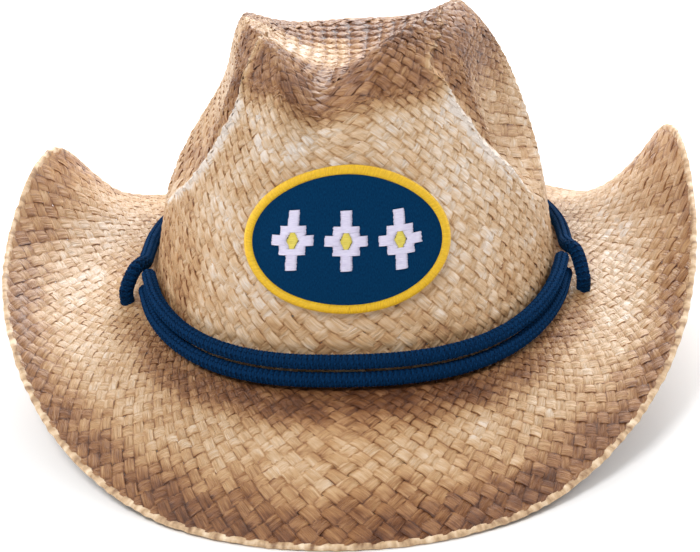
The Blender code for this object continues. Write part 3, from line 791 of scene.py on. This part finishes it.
def crown_stain_and_painted_light(angle, height, position):
    """How brown the straw is on the crown, 0 pale and 1 dark: airbrushed brown, with painted shade on the
    walls and behind the ridges, and painted highlights on the ridges and in the crease.
    """
    x, y, z = position[..., 0], position[..., 1], position[..., 2]
    behind, strength = ridge_place(angle, height)
    wall = smooth_step(np.abs(np.sin(angle)), 0.55, 0.95)
    off_ridge = 1 - np.exp(-(behind / 0.010) ** 2) * strength
    to_back = smooth_step(y, 0.010, 0.028)
    places = {
        "near the band": 1 - smooth_step(z, 0.042, 0.070),
        # Painted shade: the side walls are darkened, the left one most
        "painted shade on the left wall": (x < 0) * wall,
        "painted shade on the right wall": (x >= 0) * wall,
        "lip": smooth_step(height, 0.765, 0.850) * (1 - smooth_step(y, -0.028, 0.000)),
        # Painted shade in the hollow behind each ridge
        "painted shade behind the ridges": strength * smooth_step(behind, 0.003, 0.010) * (
            1 - smooth_step(behind, 0.030, 0.055)),
        "right dent": np.exp(-(y / 0.036) ** 2 - ((z - 0.138) / 0.026) ** 2) * smooth_step(
            x, 0.038, 0.048) * off_ridge,
        "back": to_back * smooth_step(height, 0.70, 0.85),
        "crease": smooth_step(height, 0.84, 0.90) * smooth_step(x, -0.006, 0.008) * smooth_step(
            y, -0.040, -0.015) * (1 - to_back),
    }
    # Paler crease floor: partly pale straw, partly a painted highlight of its gloss
    crease_painted_highlight = np.exp(-((x + 0.022) / 0.016) ** 2 - ((y + 0.006) / 0.022) ** 2) * (height > 0.86)
    # Painted highlight along the ridges
    ridge_painted_highlight = np.minimum(1, 3 * strength) * np.exp(-(behind / 0.0055) ** 2)
    stain_and_painted_light = sum(CROWN_STAINS_AND_PAINTED_LIGHT[name] * share for name, share in places.items())
    stain_and_painted_light = np.minimum(stain_and_painted_light - CROWN_STAINS_AND_PAINTED_LIGHT["painted highlight in the crease"] * crease_painted_highlight, CROWN_STAINS_AND_PAINTED_LIGHT["darkest"])
    return stain_and_painted_light - CROWN_STAINS_AND_PAINTED_LIGHT["painted highlight on the ridges"] * ridge_painted_highlight - CROWN_STAINS_AND_PAINTED_LIGHT["bleached all over"]


def side_guide():
    """The wall's middle from the brim's edge up over the crown's sides, with the weave's even rows."""
    heights = np.linspace(0, 1, 4000)[:-1]
    shares = crown_share(heights)
    top = float(np.interp(-TOP_SHARE, -shares, heights))
    angles = np.linspace(-math.pi, math.pi, 361)
    brim_shares = np.linspace(1 + HEM_OVERLAP, 0, 50)
    crown_heights = top * np.linspace(0, 1, 81)[1:] ** 1.15
    rows = [brim_point(angles, share) for share in brim_shares]
    rows += [ridged_crown_point(angles, np.full_like(angles, height)) for height in crown_heights]
    points = np.array(rows)
    stain_and_painted_light = np.array(
        [brim_stain_and_highlight(angles, share) for share in brim_shares]
        + [crown_stain_and_painted_light(angles, np.full_like(angles, height), row)
           for height, row in zip(crown_heights, rows[len(brim_shares):])])
    round_length = np.linalg.norm(np.diff(points, axis=1), axis=-1).sum(axis=1)
    step = np.linalg.norm(np.diff(points, axis=0), axis=-1).mean(axis=1)
    cells = np.concatenate([[0], np.cumsum(step / (round_length[1:] + round_length[:-1]) * 2)])
    lip = float(np.interp(-LIP_SHARE, -shares, heights))
    lip_row = len(brim_shares) + int(np.searchsorted(crown_heights, lip))
    return points, angles, cells, stain_and_painted_light, cells[len(brim_shares) - 1], lip_row


def wall_middle(points):
    """Moves a sheet on the outer surface in to the middle of the wall."""
    return points - outward_from(points) * STRAW_WALL / 2 + TO_MIDDLE


def add_straw_body(straw):
    """The plaited crown and brim, in two leans of strips for each, and the woven top."""
    points, angles, cells, stain_and_painted_light, junction, lip_row = side_guide()
    around = (angles + math.pi - SIDE_CROWDING / 2 * np.sin(2 * angles)) / (2 * math.pi)
    along = (cells / cells[-1])[:, None]
    guide = guide_sheet("wall_guide", wall_middle(points), around[None, :], along, stain_and_painted_light)
    plait = plait_tree()
    shared = {
        "Strip width": 1.0, "Thickness": STRIP_THICKNESS, "Rise": STRIP_RISE, "Dome": STRIP_DOME,
        "Wander": STRIP_WANDER, "Twist": STRIP_TWIST, "Pieces across": STRIP_PIECES_ACROSS, "Finish": straw,
    }
    lip = cells[lip_row]
    zones = (
        # name, strips, first row, last row, bias to the falling strips
        ("brim_straw", BRIM_STRIP_COUNT, 0.0, junction, 0.12),
        ("crown_straw", CROWN_STRIP_COUNT, junction, lip, 0.30),
        ("lip_straw", LIP_STRIP_COUNT, lip - 0.3 / LIP_STRIP_COUNT, cells[-1], 0.12),
    )
    pieces = []
    for zone, count, first, last, bias in zones:
        detail = int(round((last - first) * count * 2 * STRIP_PIECES_A_CROSSING)) + 1
        for lean, letter in ((1.0, "rising"), (-1.0, "falling")):
            sizes = shared | {
                "Strips": count, "Rows": float(cells[-1] * count), "First row": float(first * count),
                "Last row": float(last * count), "Lean": lean, "Bias": bias, "Seed": STRIP_SEEDS[lean],
                "Pieces along": detail}
            pieces.append(grow(f"{zone}_{letter}", guide, plait, sizes))
    return pieces + add_top(shared)


def add_top(shared):
    """The woven top of the crown, inside the plaited sides."""
    heights = np.linspace(0, 1, 20000)
    square = np.linspace(-1, 1, 101)
    p, q = np.meshgrid(square, square)
    x, y = (p - q) / math.sqrt(2), (p + q) / math.sqrt(2)
    reach = np.minimum(np.hypot(x, y), 1) * TOP_SHARE * TOP_OVERLAP
    height = np.interp(-reach, -crown_share(heights), heights)
    angle = np.arctan2(x, -y)
    points = ridged_crown_point(angle, height)
    place = (square + 1) / 2
    guide = guide_sheet("top_guide", wall_middle(points), place[None, :], place[:, None],
                        crown_stain_and_painted_light(angle, height, points))
    cap = cap_tree()
    pieces = []
    for lean, letter in ((1.0, "first"), (-1.0, "second")):
        sizes = shared | {
            "Strips": TOP_STRIP_COUNT, "Lean": lean, "Bias": 0.0, "Seed": CAP_SEEDS[lean],
            "Strip width": CAP_STRIP_WIDTH, "Wander": CAP_WANDER,
            "Pieces along": TOP_STRIP_COUNT * STRIP_PIECES_A_CROSSING + 1}
        pieces.append(grow(f"top_straw_{letter}", guide, cap, sizes))
    return pieces


def swept_mesh(name, sections, closed):
    """A tube through sections of points, with a UV map in metres along and around it."""
    sections = np.array(sections)
    count, sides = sections.shape[:2]
    turns = count if closed else count - 1
    faces, corner_uv = [], []
    centres = sections.mean(axis=1)
    steps = np.linalg.norm(np.diff(np.concatenate([centres, centres[:1]]), axis=0), axis=1)
    run = np.concatenate([[0], np.cumsum(steps)])
    side_steps = np.linalg.norm(np.diff(np.concatenate([sections, sections[:, :1]], axis=1), axis=1), axis=-1)
    around = np.concatenate([[0], np.cumsum(side_steps.mean(axis=0))])
    for index in range(turns):
        after = (index + 1) % count
        for side in range(sides):
            next_side = (side + 1) % sides
            faces.append((index * sides + side, after * sides + side, after * sides + next_side,
                          index * sides + next_side))
            corner_uv += [(run[index], around[side]), (run[index + 1], around[side]),
                          (run[index + 1], around[side + 1]), (run[index], around[side + 1])]
    if not closed:
        faces.append(tuple(range(sides)))
        faces.append(tuple(reversed(range((count - 1) * sides, count * sides))))
        corner_uv += [(run[0], around[side]) for side in range(sides)]
        corner_uv += [(run[-1], around[side]) for side in reversed(range(sides))]
    mesh = bpy.data.meshes.new(name)
    mesh.from_pydata(sections.reshape(-1, 3).tolist(), [], faces)
    layer = mesh.uv_layers.new(name="UVMap")
    layer.data.foreach_set("uv", np.array(corner_uv, np.float32).ravel())
    face_out(mesh)
    mesh.shade_smooth()
    return mesh


def face_out(mesh):
    """Turns a closed mesh the right way round."""
    shell = bmesh.new()
    shell.from_mesh(mesh)
    bmesh.ops.recalc_face_normals(shell, faces=shell.faces)
    shell.to_mesh(mesh)
    shell.free()


def add_hem(material):
    """The pale strip folded over the brim's edge, slightly scalloped."""
    angles = np.linspace(-math.pi, math.pi, 720, endpoint=False)
    hem = hem_point(angles)
    _, outward, above = brim_edge_point(angles)
    random = np.random.default_rng(HEM_SEED)
    waves = sum(random.uniform(0.3, 1) * np.sin(angles * random.integers(40, 190) + random.uniform(0, 6))
                for _ in range(8)) / 8
    reach = HEM_REACH * (1 + 0.25 * waves)
    half = HEM_DIAMETER / 2
    sections = []
    for index in range(len(angles)):
        edge = hem[index] + outward[index] * half * (0.6 + 0.5 * waves[index]) + TO_MIDDLE
        sections.append([edge - outward[index] * reach[index] * inwards + above[index] * half * 0.93 * thick
                         for inwards, thick in HEM_SECTION])
    return add_piece("folded_hem", swept_mesh("folded_hem", sections, True), material)


def hole_shares(angle):
    """Shares of the brim at the middle of a cord's hole."""
    reach = brim_edge_point(angle)[0] - crown_point(angle, np.zeros_like(angle))
    return (LOOP_OUT - JUNCTION_FILLET) / np.linalg.norm(reach[..., :2], axis=-1)


def wall_offset(height):
    """How far out from the crown a cord's middle lies at a height above the brim, clear of the fillet."""
    reach = CORD_DIAMETER / 2 + 2 * CLEARANCE
    samples = np.linspace(max(0, height - reach), height + reach, 60)
    flare = JUNCTION_FILLET * np.exp(-samples / JUNCTION_FILLET)
    return float(np.max(flare + np.sqrt(np.maximum(0, reach ** 2 - (height - samples) ** 2))))


def band_point(angle, out, height):
    """A point outside the crown, by its distance from the crown's wall and its height above the brim."""
    base = junction_height(angle)
    share = height / (CROWN_TOP - base)
    wall = crown_point(angle, np.maximum(share, 0))
    flare = JUNCTION_FILLET * math.exp(-max(height, 0) / JUNCTION_FILLET)
    point = wall + plan_normal(angle) * (out - flare)
    point[..., 2] = base + height
    return point


def smooth_route(points):
    """Evenly spaced points on a smooth curve through a route's own points."""
    points = np.array(points)
    padded = np.concatenate([[2 * points[0] - points[1]], points, [2 * points[-1] - points[-2]]])
    curve = []
    for before, start, end, after in zip(padded, padded[1:], padded[2:], padded[3:]):
        for share in np.linspace(0, 1, 24, endpoint=False):
            curve.append(0.5 * (2 * start + (end - before) * share
                                + (2 * before - 5 * start + 4 * end - after) * share ** 2
                                + (3 * start - before - 3 * end + after) * share ** 3))
    curve = np.array(curve + [points[-1]])
    steps = np.linalg.norm(np.diff(curve, axis=0), axis=1)
    length = np.concatenate([[0], np.cumsum(steps)])
    places = np.linspace(0, length[-1], max(2, round(length[-1] / CORD_STEP)) + 1)
    return np.stack([np.interp(places, length, curve[:, axis]) for axis in range(3)], axis=1)


def front_cord_points(height):
    """Route of one of the two strands that cross the front of the crown, side by side."""
    out = wall_offset(height)
    ends = [side * math.radians(end_angle) for side, end_angle, _ in SIDE_ROWS]
    angles = np.linspace(*ends, 15)
    return smooth_route([band_point(angle, out, height) for angle in angles])


def side_points(side, end_angle, hole_angle):
    """Route of the back strand at one side: up through the brim and round the front strands' ends."""
    low = CORD_DIAMETER / 2 + CLEARANCE
    high = 1.5 * CORD_DIAMETER + 2 * CLEARANCE
    near = wall_offset(low)
    hole_at = np.float64(side * math.radians(hole_angle))
    hole = brim_point(hole_at, hole_shares(hole_at))
    arch = (
        # angle past the front strands' ends, distance out of the crown's wall, height above the brim
        (2.2, LOOP_OUT * 0.82, high + CLEARANCE),
        (4.6, LOOP_OUT * 0.54, high + 3 * CLEARANCE),
        (9, near + CLEARANCE, high * 0.72),
        (14, near, low + 4 * CLEARANCE),
        (22, near, low + CLEARANCE),
    )
    points = [hole + np.array([0, 0, height]) for height in (-CORD_BELOW_BRIM, 0, high / 2)]
    points += [band_point(side * math.radians(end_angle + past), out, height) for past, out, height in arch]
    return points


def back_cord_points():
    """Route of the strand round the back, from the hole in one side of the brim to the other's."""
    low = CORD_DIAMETER / 2 + CLEARANCE
    left, right = SIDE_ROWS
    angles = np.radians(np.linspace(right[1] + 32, 360 - left[1] - 32, 15))
    back = [band_point(angle, wall_offset(low), low) for angle in angles]
    return smooth_route(side_points(*right) + back + side_points(*left)[::-1])


def cord_frames(route):
    """Two directions square to a route at each of its points, without twist."""
    tangents = np.gradient(route, axis=0)
    tangents /= np.linalg.norm(tangents, axis=1, keepdims=True)
    side = np.cross(tangents[0], [0, 0, 1.0])
    if np.linalg.norm(side) < 0.1:
        side = np.cross(tangents[0], [0, 1.0, 0])
    sides = []
    for tangent in tangents:
        side = side - tangent * side.dot(tangent)
        side = side / np.linalg.norm(side)
        sides.append(side)
    sides = np.array(sides)
    return sides, np.cross(tangents, sides)


def add_cord(name, route, node, core_finish, braid_finish, plait, seed):
    """A braided cord: a plain core with closed ends and two leans of braided strands round it."""
    sides, ups = cord_frames(route)
    route = route + TO_MIDDLE
    turns = np.linspace(0, 2 * math.pi, CORD_SIDES + 1)
    ring = np.cos(turns)[None, :, None] * sides[:, None] + np.sin(turns)[None, :, None] * ups[:, None]
    radius = CORD_DIAMETER / 2 - BRAID_RISE - BRAID_THICKNESS / 2
    length = np.concatenate([[0], np.cumsum(np.linalg.norm(np.diff(route, axis=0), axis=1))])
    rows = length[-1] / (2 * math.pi * radius / BRAID_STRANDS)
    guide = guide_sheet(name + "_guide", route[:, None] + ring * radius, (turns / (2 * math.pi))[None, :],
                        (length / length[-1])[:, None])
    pieces = []
    for lean, letter in ((1.0, "rising"), (-1.0, "falling")):
        sizes = {
            "Strips": BRAID_STRANDS, "Rows": rows, "First row": 0.0, "Last row": rows, "Lean": lean,
            "Strip width": 0.98, "Thickness": BRAID_THICKNESS, "Rise": BRAID_RISE, "Dome": BRAID_DOME,
            "Bias": 0.0, "Wander": 0.03, "Twist": 0.0, "Seed": seed, "Finish": braid_finish,
            "Pieces across": 2, "Pieces along": int(round(rows * 4)) + 1}
        pieces.append(grow(f"{name}_{letter}", guide, plait, sizes))
    core_radius = radius - BRAID_RISE - BRAID_THICKNESS / 4
    core = swept_mesh(name + "_core", route[:, None] + ring[:, :-1] * core_radius, False)
    pieces.append(add_piece(name + "_core", core, core_finish))
    for piece in pieces:
        finish_piece(piece, "navy_cord", node)


def add_knot(name, end, finish):
    """The cord's tied end under a hole of the brim: a closed loop wound three times through itself."""
    centre = end - np.array([0, 0, KNOT_DIAMETER / 2 + CLEARANCE]) + TO_MIDDLE
    turns = np.linspace(0, 2 * math.pi, KNOT_STEPS, endpoint=False)
    loop = centre + KNOT_DIAMETER / 2 * KNOT_LOOP_SHARE * np.stack([
        np.sin(turns) + 2 * np.sin(2 * turns),
        np.cos(turns) - 2 * np.cos(2 * turns),
        -1.4 * np.sin(3 * turns)], axis=1)
    tangents = np.roll(loop, -1, axis=0) - np.roll(loop, 1, axis=0)
    tangents /= np.linalg.norm(tangents, axis=1, keepdims=True)
    sides = np.cross(tangents, loop - centre)
    sides /= np.linalg.norm(sides, axis=1, keepdims=True)
    ups = np.cross(tangents, sides)
    around = np.linspace(0, 2 * math.pi, CORD_SIDES, endpoint=False)
    tube = loop[:, None] + KNOT_CORD_RADIUS * (np.cos(around)[None, :, None] * sides[:, None]
                                               + np.sin(around)[None, :, None] * ups[:, None])
    finish_piece(add_piece(name + "_tied", swept_mesh(name + "_tied", tube, True), finish), "navy_cord", name)


def add_cords(core_finish, braid_finish):
    """The cord band's braided strands, and a knot under each hole of the brim."""
    plait = plait_tree()
    low = CORD_DIAMETER / 2 + CLEARANCE
    high = low + CORD_DIAMETER + CLEARANCE
    back = back_cord_points()
    for name, route, node, seed in (
            ("front_lower", front_cord_points(low), "front_cord_lower", 3),
            ("front_upper", front_cord_points(high), "front_cord_upper", 5),
            ("back_strand", back, "back_cord", 9)):
        add_cord(name, route, node, core_finish, braid_finish, plait, seed)
    add_knot("knot_right", back[0], braid_finish)
    add_knot("knot_left", back[-1], braid_finish)


def patch_point(across, upward, lift):
    """A point over the crown's front, by its place on the patch laid flat and its height off the straw."""
    centre_height = PATCH_CENTRE_HEIGHT / (CROWN_TOP - FRONT_JUNCTION)
    step = 0.01
    rising = crown_point(0, centre_height + step) - crown_point(0, centre_height - step)
    height = centre_height + np.asarray(upward) * 2 * step / np.linalg.norm(rising)
    angles = np.radians(np.linspace(-PATCH_SIDE_ANGLE, PATCH_SIDE_ANGLE, 301))
    outline = crown_point(angles, centre_height)
    steps = np.linalg.norm(np.diff(outline, axis=0), axis=1)
    length = np.concatenate([[0], np.cumsum(steps)])
    angle = np.interp(across + PATCH_OFFSET + np.interp(0, angles, length), length, angles)
    return crown_point(angle, height) + crown_normal(angle, height) * np.asarray(lift)[..., None] + TO_MIDDLE


def add_patch(twill, yellow, pale, gold):
    """The oval patch: twill ground, overlocked border and stitched motifs."""
    turns = np.linspace(0, 2 * math.pi, 96, endpoint=False)
    inner_width = PATCH_WIDTH / 2 - PATCH_BORDER_WIDTH * 0.5
    inner_height = PATCH_HEIGHT / 2 - PATCH_BORDER_WIDTH * 0.5
    rings = np.linspace(0.04, 1, 24)
    place = [(share * inner_width * np.cos(turns), share * inner_height * np.sin(turns)) for share in rings]
    vertices, faces = [], []
    for lift in (CLEARANCE + PATCH_THICKNESS, CLEARANCE):
        vertices += [tuple(patch_point(0.0, 0.0, lift))]
        for x, y in place:
            vertices += patch_point(x, y, np.full_like(turns, lift)).tolist()
    half = len(vertices) // 2
    flat = 2 * ([(0.0, 0.0)] + [(float(a), float(b)) for x, y in place for a, b in zip(x, y)])
    count = len(turns)
    for side in (0, 1):
        base = side * half
        for column in range(count):
            after = (column + 1) % count
            cap = (base, base + 1 + column, base + 1 + after)
            faces.append(cap if side == 0 else cap[::-1])
            for row in range(len(rings) - 1):
                a = base + 1 + row * count
                quad = (a + column, a + count + column, a + count + after, a + after)
                faces.append(quad if side == 0 else quad[::-1])
    rim = 1 + (len(rings) - 1) * count
    for column in range(count):
        after = (column + 1) % count
        faces.append((rim + column, half + rim + column, half + rim + after, rim + after))
    mesh = bpy.data.meshes.new("patch_twill")
    mesh.from_pydata(vertices, [], faces)
    layer = mesh.uv_layers.new(name="UVMap")
    for loop in mesh.loops:
        layer.data[loop.index].uv = flat[loop.vertex_index]
    face_out(mesh)
    mesh.shade_smooth()
    mesh.set_sharp_from_angle(angle=math.radians(50))
    finish_piece(add_piece("patch_twill", mesh, twill), "navy_twill", "patch_ground")
    add_border(yellow)
    add_motif_stitches(pale, gold)


def thread_mesh(name, paths, radius, sides=5):
    """Many short threads in one mesh, each a tube with closed ends and lines along it."""
    vertices, faces, uv = [], [], []
    turns = np.linspace(0, 2 * math.pi, sides, endpoint=False)
    for number, (path, outward) in enumerate(paths):
        path, outward = np.asarray(path), np.asarray(outward)
        tangents = np.gradient(path, axis=0)
        tangents /= np.linalg.norm(tangents, axis=1, keepdims=True)
        across = np.cross(tangents, outward)
        across /= np.linalg.norm(across, axis=1, keepdims=True)
        ups = np.cross(across, tangents)
        rings = path[:, None] + radius * (np.cos(turns)[None, :, None] * across[:, None]
                                          + np.sin(turns)[None, :, None] * ups[:, None])
        start = len(vertices)
        vertices += rings.reshape(-1, 3).tolist()
        steps = np.concatenate([[0], np.cumsum(np.linalg.norm(np.diff(path, axis=0), axis=1))])
        for index in range(len(path) - 1):
            for side in range(sides):
                after = (side + 1) % sides
                first, second = start + index * sides, start + (index + 1) * sides
                faces.append((first + side, first + after, second + after, second + side))
                low, high = steps[index] + number * 0.01, steps[index + 1] + number * 0.01
                u, v = side / sides * 0.002, (side + 1) / sides * 0.002
                uv += [(low, u), (low, v), (high, v), (high, u)]
        end = start + (len(path) - 1) * sides
        faces.append(tuple(start + side for side in reversed(range(sides))))
        faces.append(tuple(end + side for side in range(sides)))
        uv += [(0.0, 0.0)] * (2 * sides)
    mesh = bpy.data.meshes.new(name)
    mesh.from_pydata(vertices, [], faces)
    layer = mesh.uv_layers.new(name="UVMap")
    layer.data.foreach_set("uv", np.array(uv, np.float32).ravel())
    face_out(mesh)
    mesh.shade_smooth()
    return mesh


def add_border(yellow):
    """Overlocked thread wound round the patch's edge."""
    random = np.random.default_rng(OVERLOCK_SEED)
    paths = []
    half = PATCH_BORDER_WIDTH / 2
    for turn in np.linspace(0, 2 * math.pi, OVERLOCK_COUNT, endpoint=False):
        turn = turn + random.uniform(-0.0012, 0.0012)
        place, out = [], []
        for share in np.linspace(0, 1, 8):
            arc = math.pi * share
            inset = half - half * math.cos(arc)
            lift = CLEARANCE + (PATCH_BORDER_THICKNESS - 0.0005) * math.sin(arc) ** 0.7
            slant = turn + (share - 0.5) * 0.03
            x = (PATCH_WIDTH / 2 - inset) * math.cos(slant)
            y = (PATCH_HEIGHT / 2 - inset) * math.sin(slant)
            place.append(patch_point(x, y, lift))
            out.append(patch_point(x, y, lift + 0.001) - place[-1])
        paths.append((place, out))
    piece = add_piece("patch_overlock", thread_mesh("patch_overlock", paths, OVERLOCK_RADIUS), yellow)
    finish_piece(piece, "yellow_thread", "patch_border")


def add_motif_stitches(pale, gold):
    """Stepped diamonds in rows of satin stitches, each with a small eye of another thread."""
    random = np.random.default_rng(STITCH_SEED)
    for index in range(MOTIF_COUNT):
        centre = (index - (MOTIF_COUNT - 1) / 2) * MOTIF_PITCH
        paths, eye = [], []
        for y in np.arange(-MOTIF_HEIGHT / 2, MOTIF_HEIGHT / 2, STITCH_PITCH):
            level = abs(y) / (MOTIF_HEIGHT / 2)
            width = [half for half, low, high in MOTIF_STEPS if low <= level <= high][0] * MOTIF_WIDTH / 2
            in_eye = max(0.0, 1 - abs(y) / EYE_HALF_HEIGHT)
            spans = [(-width, width)]
            if in_eye > 0:
                eye_half = EYE_HALF_WIDTH * (0.35 + 0.65 * in_eye)
                spans = [(-width, -eye_half), (eye_half, width)]
                eye.append(stitch(centre - eye_half * 0.9, centre + eye_half * 0.9, y, random, 0.5))
            for start, end in spans:
                paths.append(stitch(centre + start, centre + end, y, random, 1.0))
        name = f"patch_motif_{index + 1}"
        for part, threads, finish, slot in (
                ("_stitches", paths, pale, "pale_thread"), ("_eye", eye, gold, "yellow_thread")):
            piece = add_piece(name + part, thread_mesh(name + part, threads, STITCH_RADIUS), finish)
            finish_piece(piece, slot, name)


def stitch(start, end, y, random, puff):
    """One satin stitch across a motif, low at its ends."""
    shares = np.linspace(0, 1, 6)
    jitter = random.uniform(-0.00018, 0.00018, 2)
    x = start + jitter[0] + (end + jitter[1] - start - jitter[0]) * shares
    lift = CLEARANCE + PATCH_THICKNESS + 0.0001 + STITCH_RISE * puff * np.sin(math.pi * shares) ** 0.5
    slant = y + (shares - 0.5) * 0.0003
    path = patch_point(x, slant, lift)
    return path, patch_point(x, slant, lift + 0.001) - path


def add_camera():
    """The photograph's view: in front, a little to the right and above, turned slightly."""
    camera = bpy.data.cameras.new("camera")
    camera.lens = CAMERA_LENS
    camera.sensor_width = 36
    holder = bpy.data.objects.new("camera", camera)
    bpy.context.scene.collection.objects.link(holder)
    place, aim = Vector(CAMERA_PLACE), Vector(CAMERA_AIM)
    turn = (aim - place).to_track_quat("-Z", "Y").to_matrix().to_4x4()
    roll = Matrix.Rotation(math.radians(CAMERA_ROLL), 4, "Z")
    holder.matrix_world = Matrix.Translation(place) @ turn @ roll
    bpy.context.scene.camera = holder


def add_stage():
    """A plain pale floor and soft studio light from square lamps that look at the hat."""
    corners = [(x * FLOOR_REACH, y * FLOOR_REACH, 0) for x, y in ((-1, -1), (1, -1), (1, 1), (-1, 1))]
    floor_mesh = bpy.data.meshes.new("floor")
    floor_mesh.from_pydata(corners, [], [(0, 1, 2, 3)])
    add_piece("floor", floor_mesh, plain_material("pale_floor", FLOOR_COLOUR, 0.9))
    world = bpy.data.worlds.new("studio")
    world.use_nodes = True
    background = world.node_tree.nodes["Background"]
    background.inputs["Color"].default_value = (1, 1, 1, 1)
    background.inputs["Strength"].default_value = WORLD_LIGHT
    bpy.context.scene.world = world
    bpy.context.scene.view_settings.view_transform = "Standard"
    for name, place, size, power in LIGHTS:
        light = bpy.data.lights.new(name, "AREA")
        light.shape = "SQUARE"
        light.size = size
        light.energy = power
        holder = bpy.data.objects.new(name, light)
        bpy.context.scene.collection.objects.link(holder)
        holder.location = place
        holder.rotation_euler = (Vector(LIGHT_AIM) - Vector(place)).to_track_quat("-Z", "Y").to_euler()


def main():
    add_camera()
    add_stage()
    for piece in add_straw_body(straw_material()):
        finish_piece(piece, "woven_straw", "woven_body")
    finish_piece(add_hem(hem_material()), "straw_hem", "brim_edge")
    braid, *patch_threads = [thread_material(name, *values) for name, values in THREADS.items()]
    add_cords(plain_material("cord_core", CORD_CORE_COLOUR, 0.9), braid)
    add_patch(*patch_threads)


main()
